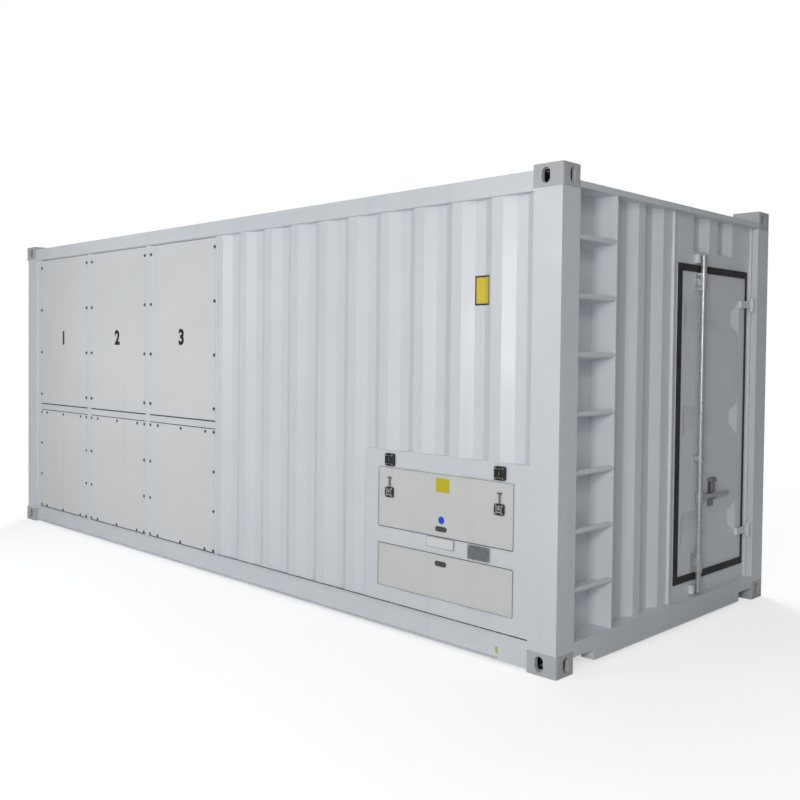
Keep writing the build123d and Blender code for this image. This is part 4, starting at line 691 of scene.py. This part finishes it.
grid = [[shape.verts.new(on_sheet(x, z)) for z in rows] for x in columns]
for i in range(len(columns) - 1):
    for j in range(len(rows) - 1):
        face = shape.faces.new((grid[i][j], grid[i + 1][j], grid[i + 1][j + 1], grid[i][j + 1]))
        face.material_index = 1 if i in (0, len(columns) - 2) or j in (0, len(rows) - 2) else 0
bmesh.ops.recalc_face_normals(shape, faces=shape.faces[:])
if sum(f.normal.y for f in shape.faces) > 0:
    bmesh.ops.reverse_faces(shape, faces=shape.faces[:])
bmesh.ops.solidify(shape, geom=shape.faces[:], thickness=plate_thick)
settle("height_plate", mesh_of(shape, "height_plate", label_yellow, black_ink), "container")


label_thick = 0.0006


def label(name, x0, x1, z0, z1, y, material, body, round_by=0.002):
    """A thin label with rounded corners, stuck on a face that looks to -Y."""
    shape = bmesh.new()
    rim = []
    for cx, cz, first in ((x1 - round_by, z1 - round_by, 0), (x0 + round_by, z1 - round_by, 1),
                          (x0 + round_by, z0 + round_by, 2), (x1 - round_by, z0 + round_by, 3)):
        for n in range(5):
            turn = math.pi / 2 * (first + n / 4)
            rim.append(shape.verts.new((cx + round_by * math.cos(turn), y, cz + round_by * math.sin(turn))))
    shape.faces.new(rim)
    made = bmesh.ops.extrude_face_region(shape, geom=shape.faces[:])["geom"]
    for v in [g for g in made if isinstance(g, bmesh.types.BMVert)]:
        v.co.y -= label_thick
    bmesh.ops.recalc_face_normals(shape, faces=shape.faces[:])
    return settle(name, mesh_of(shape, name, material), body)


flap_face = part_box("upper_flap_handle")[0][1]
frame_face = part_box("control_frame")[0][1]
label("flap_label_yellow", 2.204, 2.303, 0.854, 0.933, flap_face, deep_yellow, "upper_flap")
label("flap_label_blue", 2.224, 2.268, 0.676, 0.720, flap_face, label_blue, "upper_flap", 0.0219)
label("frame_label_edge", 2.140, 2.340, 0.540, 0.598, frame_face, label_edge, "container")
label("frame_label_white", 2.1425, 2.3375, 0.5425, 0.5955, frame_face - 0.0005, label_white, "container")
label("frame_plate", 2.441, 2.590, 0.518, 0.595, frame_face, plate_alloy, "container")
grown("frame_plate_rivets", [(x, frame_face - label_thick, z) for x in (2.449, 2.582) for z in (0.526, 0.587)], [],
      bolt_heads, {"Head Radius": 0.003, "Head Height": 0.002, "Sides": 12, "Washer Radius": 0.004,
                   "Washer Height": 0.0006, "Turn": facing_side, "Finish": bright_steel}, "container")
label("rail_mark", 2.622, 2.640, 0.040, 0.072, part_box("bottom_side_rails")[0][1] + 0.030, deep_yellow, "container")

# ---- instruments and busbars --------------------------------------------------------------------------
# Square meters in black bezels, a red stop button, a knob, and bare copper bars
# on red moulded insulators.

coat(latch_black, "panel_instruments", "selector_switch")
coat(moulded("stop_red", (0.62, 0.02, 0.015), (0.55, 0.02, 0.02), 0.3, 400, 0.0001), "emergency_stop")
coat(moulded("insulator_red", (0.42, 0.06, 0.045), (0.36, 0.05, 0.04), 0.35, 200, 0.0003), "busbar_insulators")
coat(zinc("bare_copper", (0.72, 0.38, 0.22), (0.60, 0.31, 0.18), 0.32, 120, 0.95), "busbars")

# ---- cargo doors ---------------------------------------------------------------------------------------
# Two pressed leaves with rubber gaskets, forged hinges and a galvanised
# lock bar each.

coat(body_white, "cargo_door_left", "cargo_door_right")
coat(galvanised, "cargo_lock_bar_left", "cargo_lock_bar_right")

# ---- studio -----------------------------------------------------------------------------
# A pale seamless floor under a white surround. Soft lamps light the load side
# and its far end, a weak warm one the ladder end, and two large ones the back.

floor_size = 60.0
half = floor_size / 2
mesh = bpy.data.meshes.new("floor")
mesh.from_pydata([(-half, -half, 0), (half, -half, 0), (half, half, 0), (-half, half, 0)], [], [(0, 1, 2, 3)])
floor = bpy.data.objects.new("floor", mesh)
bpy.context.scene.collection.objects.link(floor)
floor_paint, tree, shader = principled("floor_paint")
shader.inputs["Base Color"].default_value = (0.62, 0.62, 0.62, 1)
shader.inputs["Roughness"].default_value = 0.9
path = tree.nodes.new("ShaderNodeLightPath")
lift = tree.nodes.new("ShaderNodeEmission")
lift.inputs["Strength"].default_value = 0.62
white = tree.nodes.new("ShaderNodeEmission")
place = tree.nodes.new("ShaderNodeTexCoord")
away = tree.nodes.new("ShaderNodeVectorMath")
away.operation = "LENGTH"
tree.links.new(place.outputs["Object"], away.inputs[0])
lit = tree.nodes.new("ShaderNodeAddShader")
fade = tree.nodes.new("ShaderNodeMixShader")
choose = tree.nodes.new("ShaderNodeMixShader")
tree.links.new(shader.outputs[0], lit.inputs[0])
tree.links.new(lift.outputs[0], lit.inputs[1])
tree.links.new(spread(tree, away.outputs["Value"], 4.0, 7.0, 0.0, 1.0), fade.inputs["Fac"])
tree.links.new(lit.outputs[0], fade.inputs[1])
tree.links.new(white.outputs[0], fade.inputs[2])
tree.links.new(path.outputs["Is Camera Ray"], choose.inputs["Fac"])
tree.links.new(shader.outputs[0], choose.inputs[1])
tree.links.new(fade.outputs[0], choose.inputs[2])
tree.links.new(choose.outputs[0], tree.nodes["Material Output"].inputs["Surface"])
mesh.materials.append(floor_paint)

world = bpy.data.worlds.new("studio")
bpy.context.scene.world = world
world.use_nodes = True
tree = world.node_tree
sky = tree.nodes["Background"]
sky.inputs["Color"].default_value = (0.95, 0.97, 1.0, 1)
sky.inputs["Strength"].default_value = 0.21
back = tree.nodes.new("ShaderNodeBackground")
back.inputs["Color"].default_value = (1, 1, 1, 1)
path = tree.nodes.new("ShaderNodeLightPath")
choose = tree.nodes.new("ShaderNodeMixShader")
tree.links.new(path.outputs["Is Camera Ray"], choose.inputs["Fac"])
tree.links.new(sky.outputs[0], choose.inputs[1])
tree.links.new(back.outputs[0], choose.inputs[2])
tree.links.new(choose.outputs[0], tree.nodes["World Output"].inputs["Surface"])


def lamp(name, place, target, size, power, colour, cone=180):
    """A round area lamp that looks at target; cone in degrees."""
    light = bpy.data.lights.new(name, "AREA")
    light.shape = "DISK"
    light.size = size
    light.energy = power
    light.color = colour
    light.spread = math.radians(cone)
    holder = bpy.data.objects.new(name, light)
    holder.location = place
    holder.rotation_euler = (Vector(target) - Vector(place)).to_track_quat("-Z", "Y").to_euler()
    bpy.context.scene.collection.objects.link(holder)


lamp("front", (5.8, -8.4, 2.2), (1.0, 0.0, 1.2), 2.0, 225, (1.0, 1.0, 1.0))
lamp("covers", (-0.6, -7.0, 3.2), (-1.6, -1.2, 1.4), 2.0, 72, (0.98, 0.99, 1.0))
lamp("far_end", (-1.4, -5.6, 2.4), (-1.5, -1.2, 1.4), 1.5, 10, (1.0, 1.0, 1.0), 90)
lamp("corner", (8.0, -6.0, 5.0), (2.95, -0.4, 1.2), 1.6, 20, (1.0, 0.955, 0.90), 90)
lamp("behind", (-9.0, 8.0, 7.0), (-1.0, 0.5, 1.2), 6.0, 620, (1.0, 1.0, 1.0))
lamp("above", (-1.0, 3.0, 11.0), (-0.5, 0.6, 2.6), 6.0, 260, (1.0, 1.0, 1.0))

view_width = 36.0
focal_ratio = 934.51 / 800.0
azimuth = math.radians(-45.665)
tilt = math.radians(-1.444)
roll = math.radians(0.568)
ahead = Vector((math.sin(azimuth) * math.cos(tilt), math.cos(azimuth) * math.cos(tilt), math.sin(tilt)))
level = Vector((math.cos(azimuth), -math.sin(azimuth), 0.0))
above = level.cross(ahead)
right = math.cos(roll) * level + math.sin(roll) * above
up = -math.sin(roll) * level + math.cos(roll) * above
lens = bpy.data.cameras.new("camera")
lens.sensor_width = view_width
lens.lens = focal_ratio * view_width
lens.shift_x = 0.0377
lens.shift_y = -0.0316
lens.clip_end = 200.0
camera = bpy.data.objects.new("camera", lens)
turn = Matrix((right, up, -ahead)).transposed().to_4x4()
turn.translation = Vector((5.68198, -5.13006, 1.63967))
camera.matrix_world = turn
bpy.context.scene.collection.objects.link(camera)
bpy.context.scene.camera = camera
bpy.context.scene.view_settings.view_transform = "Standard"
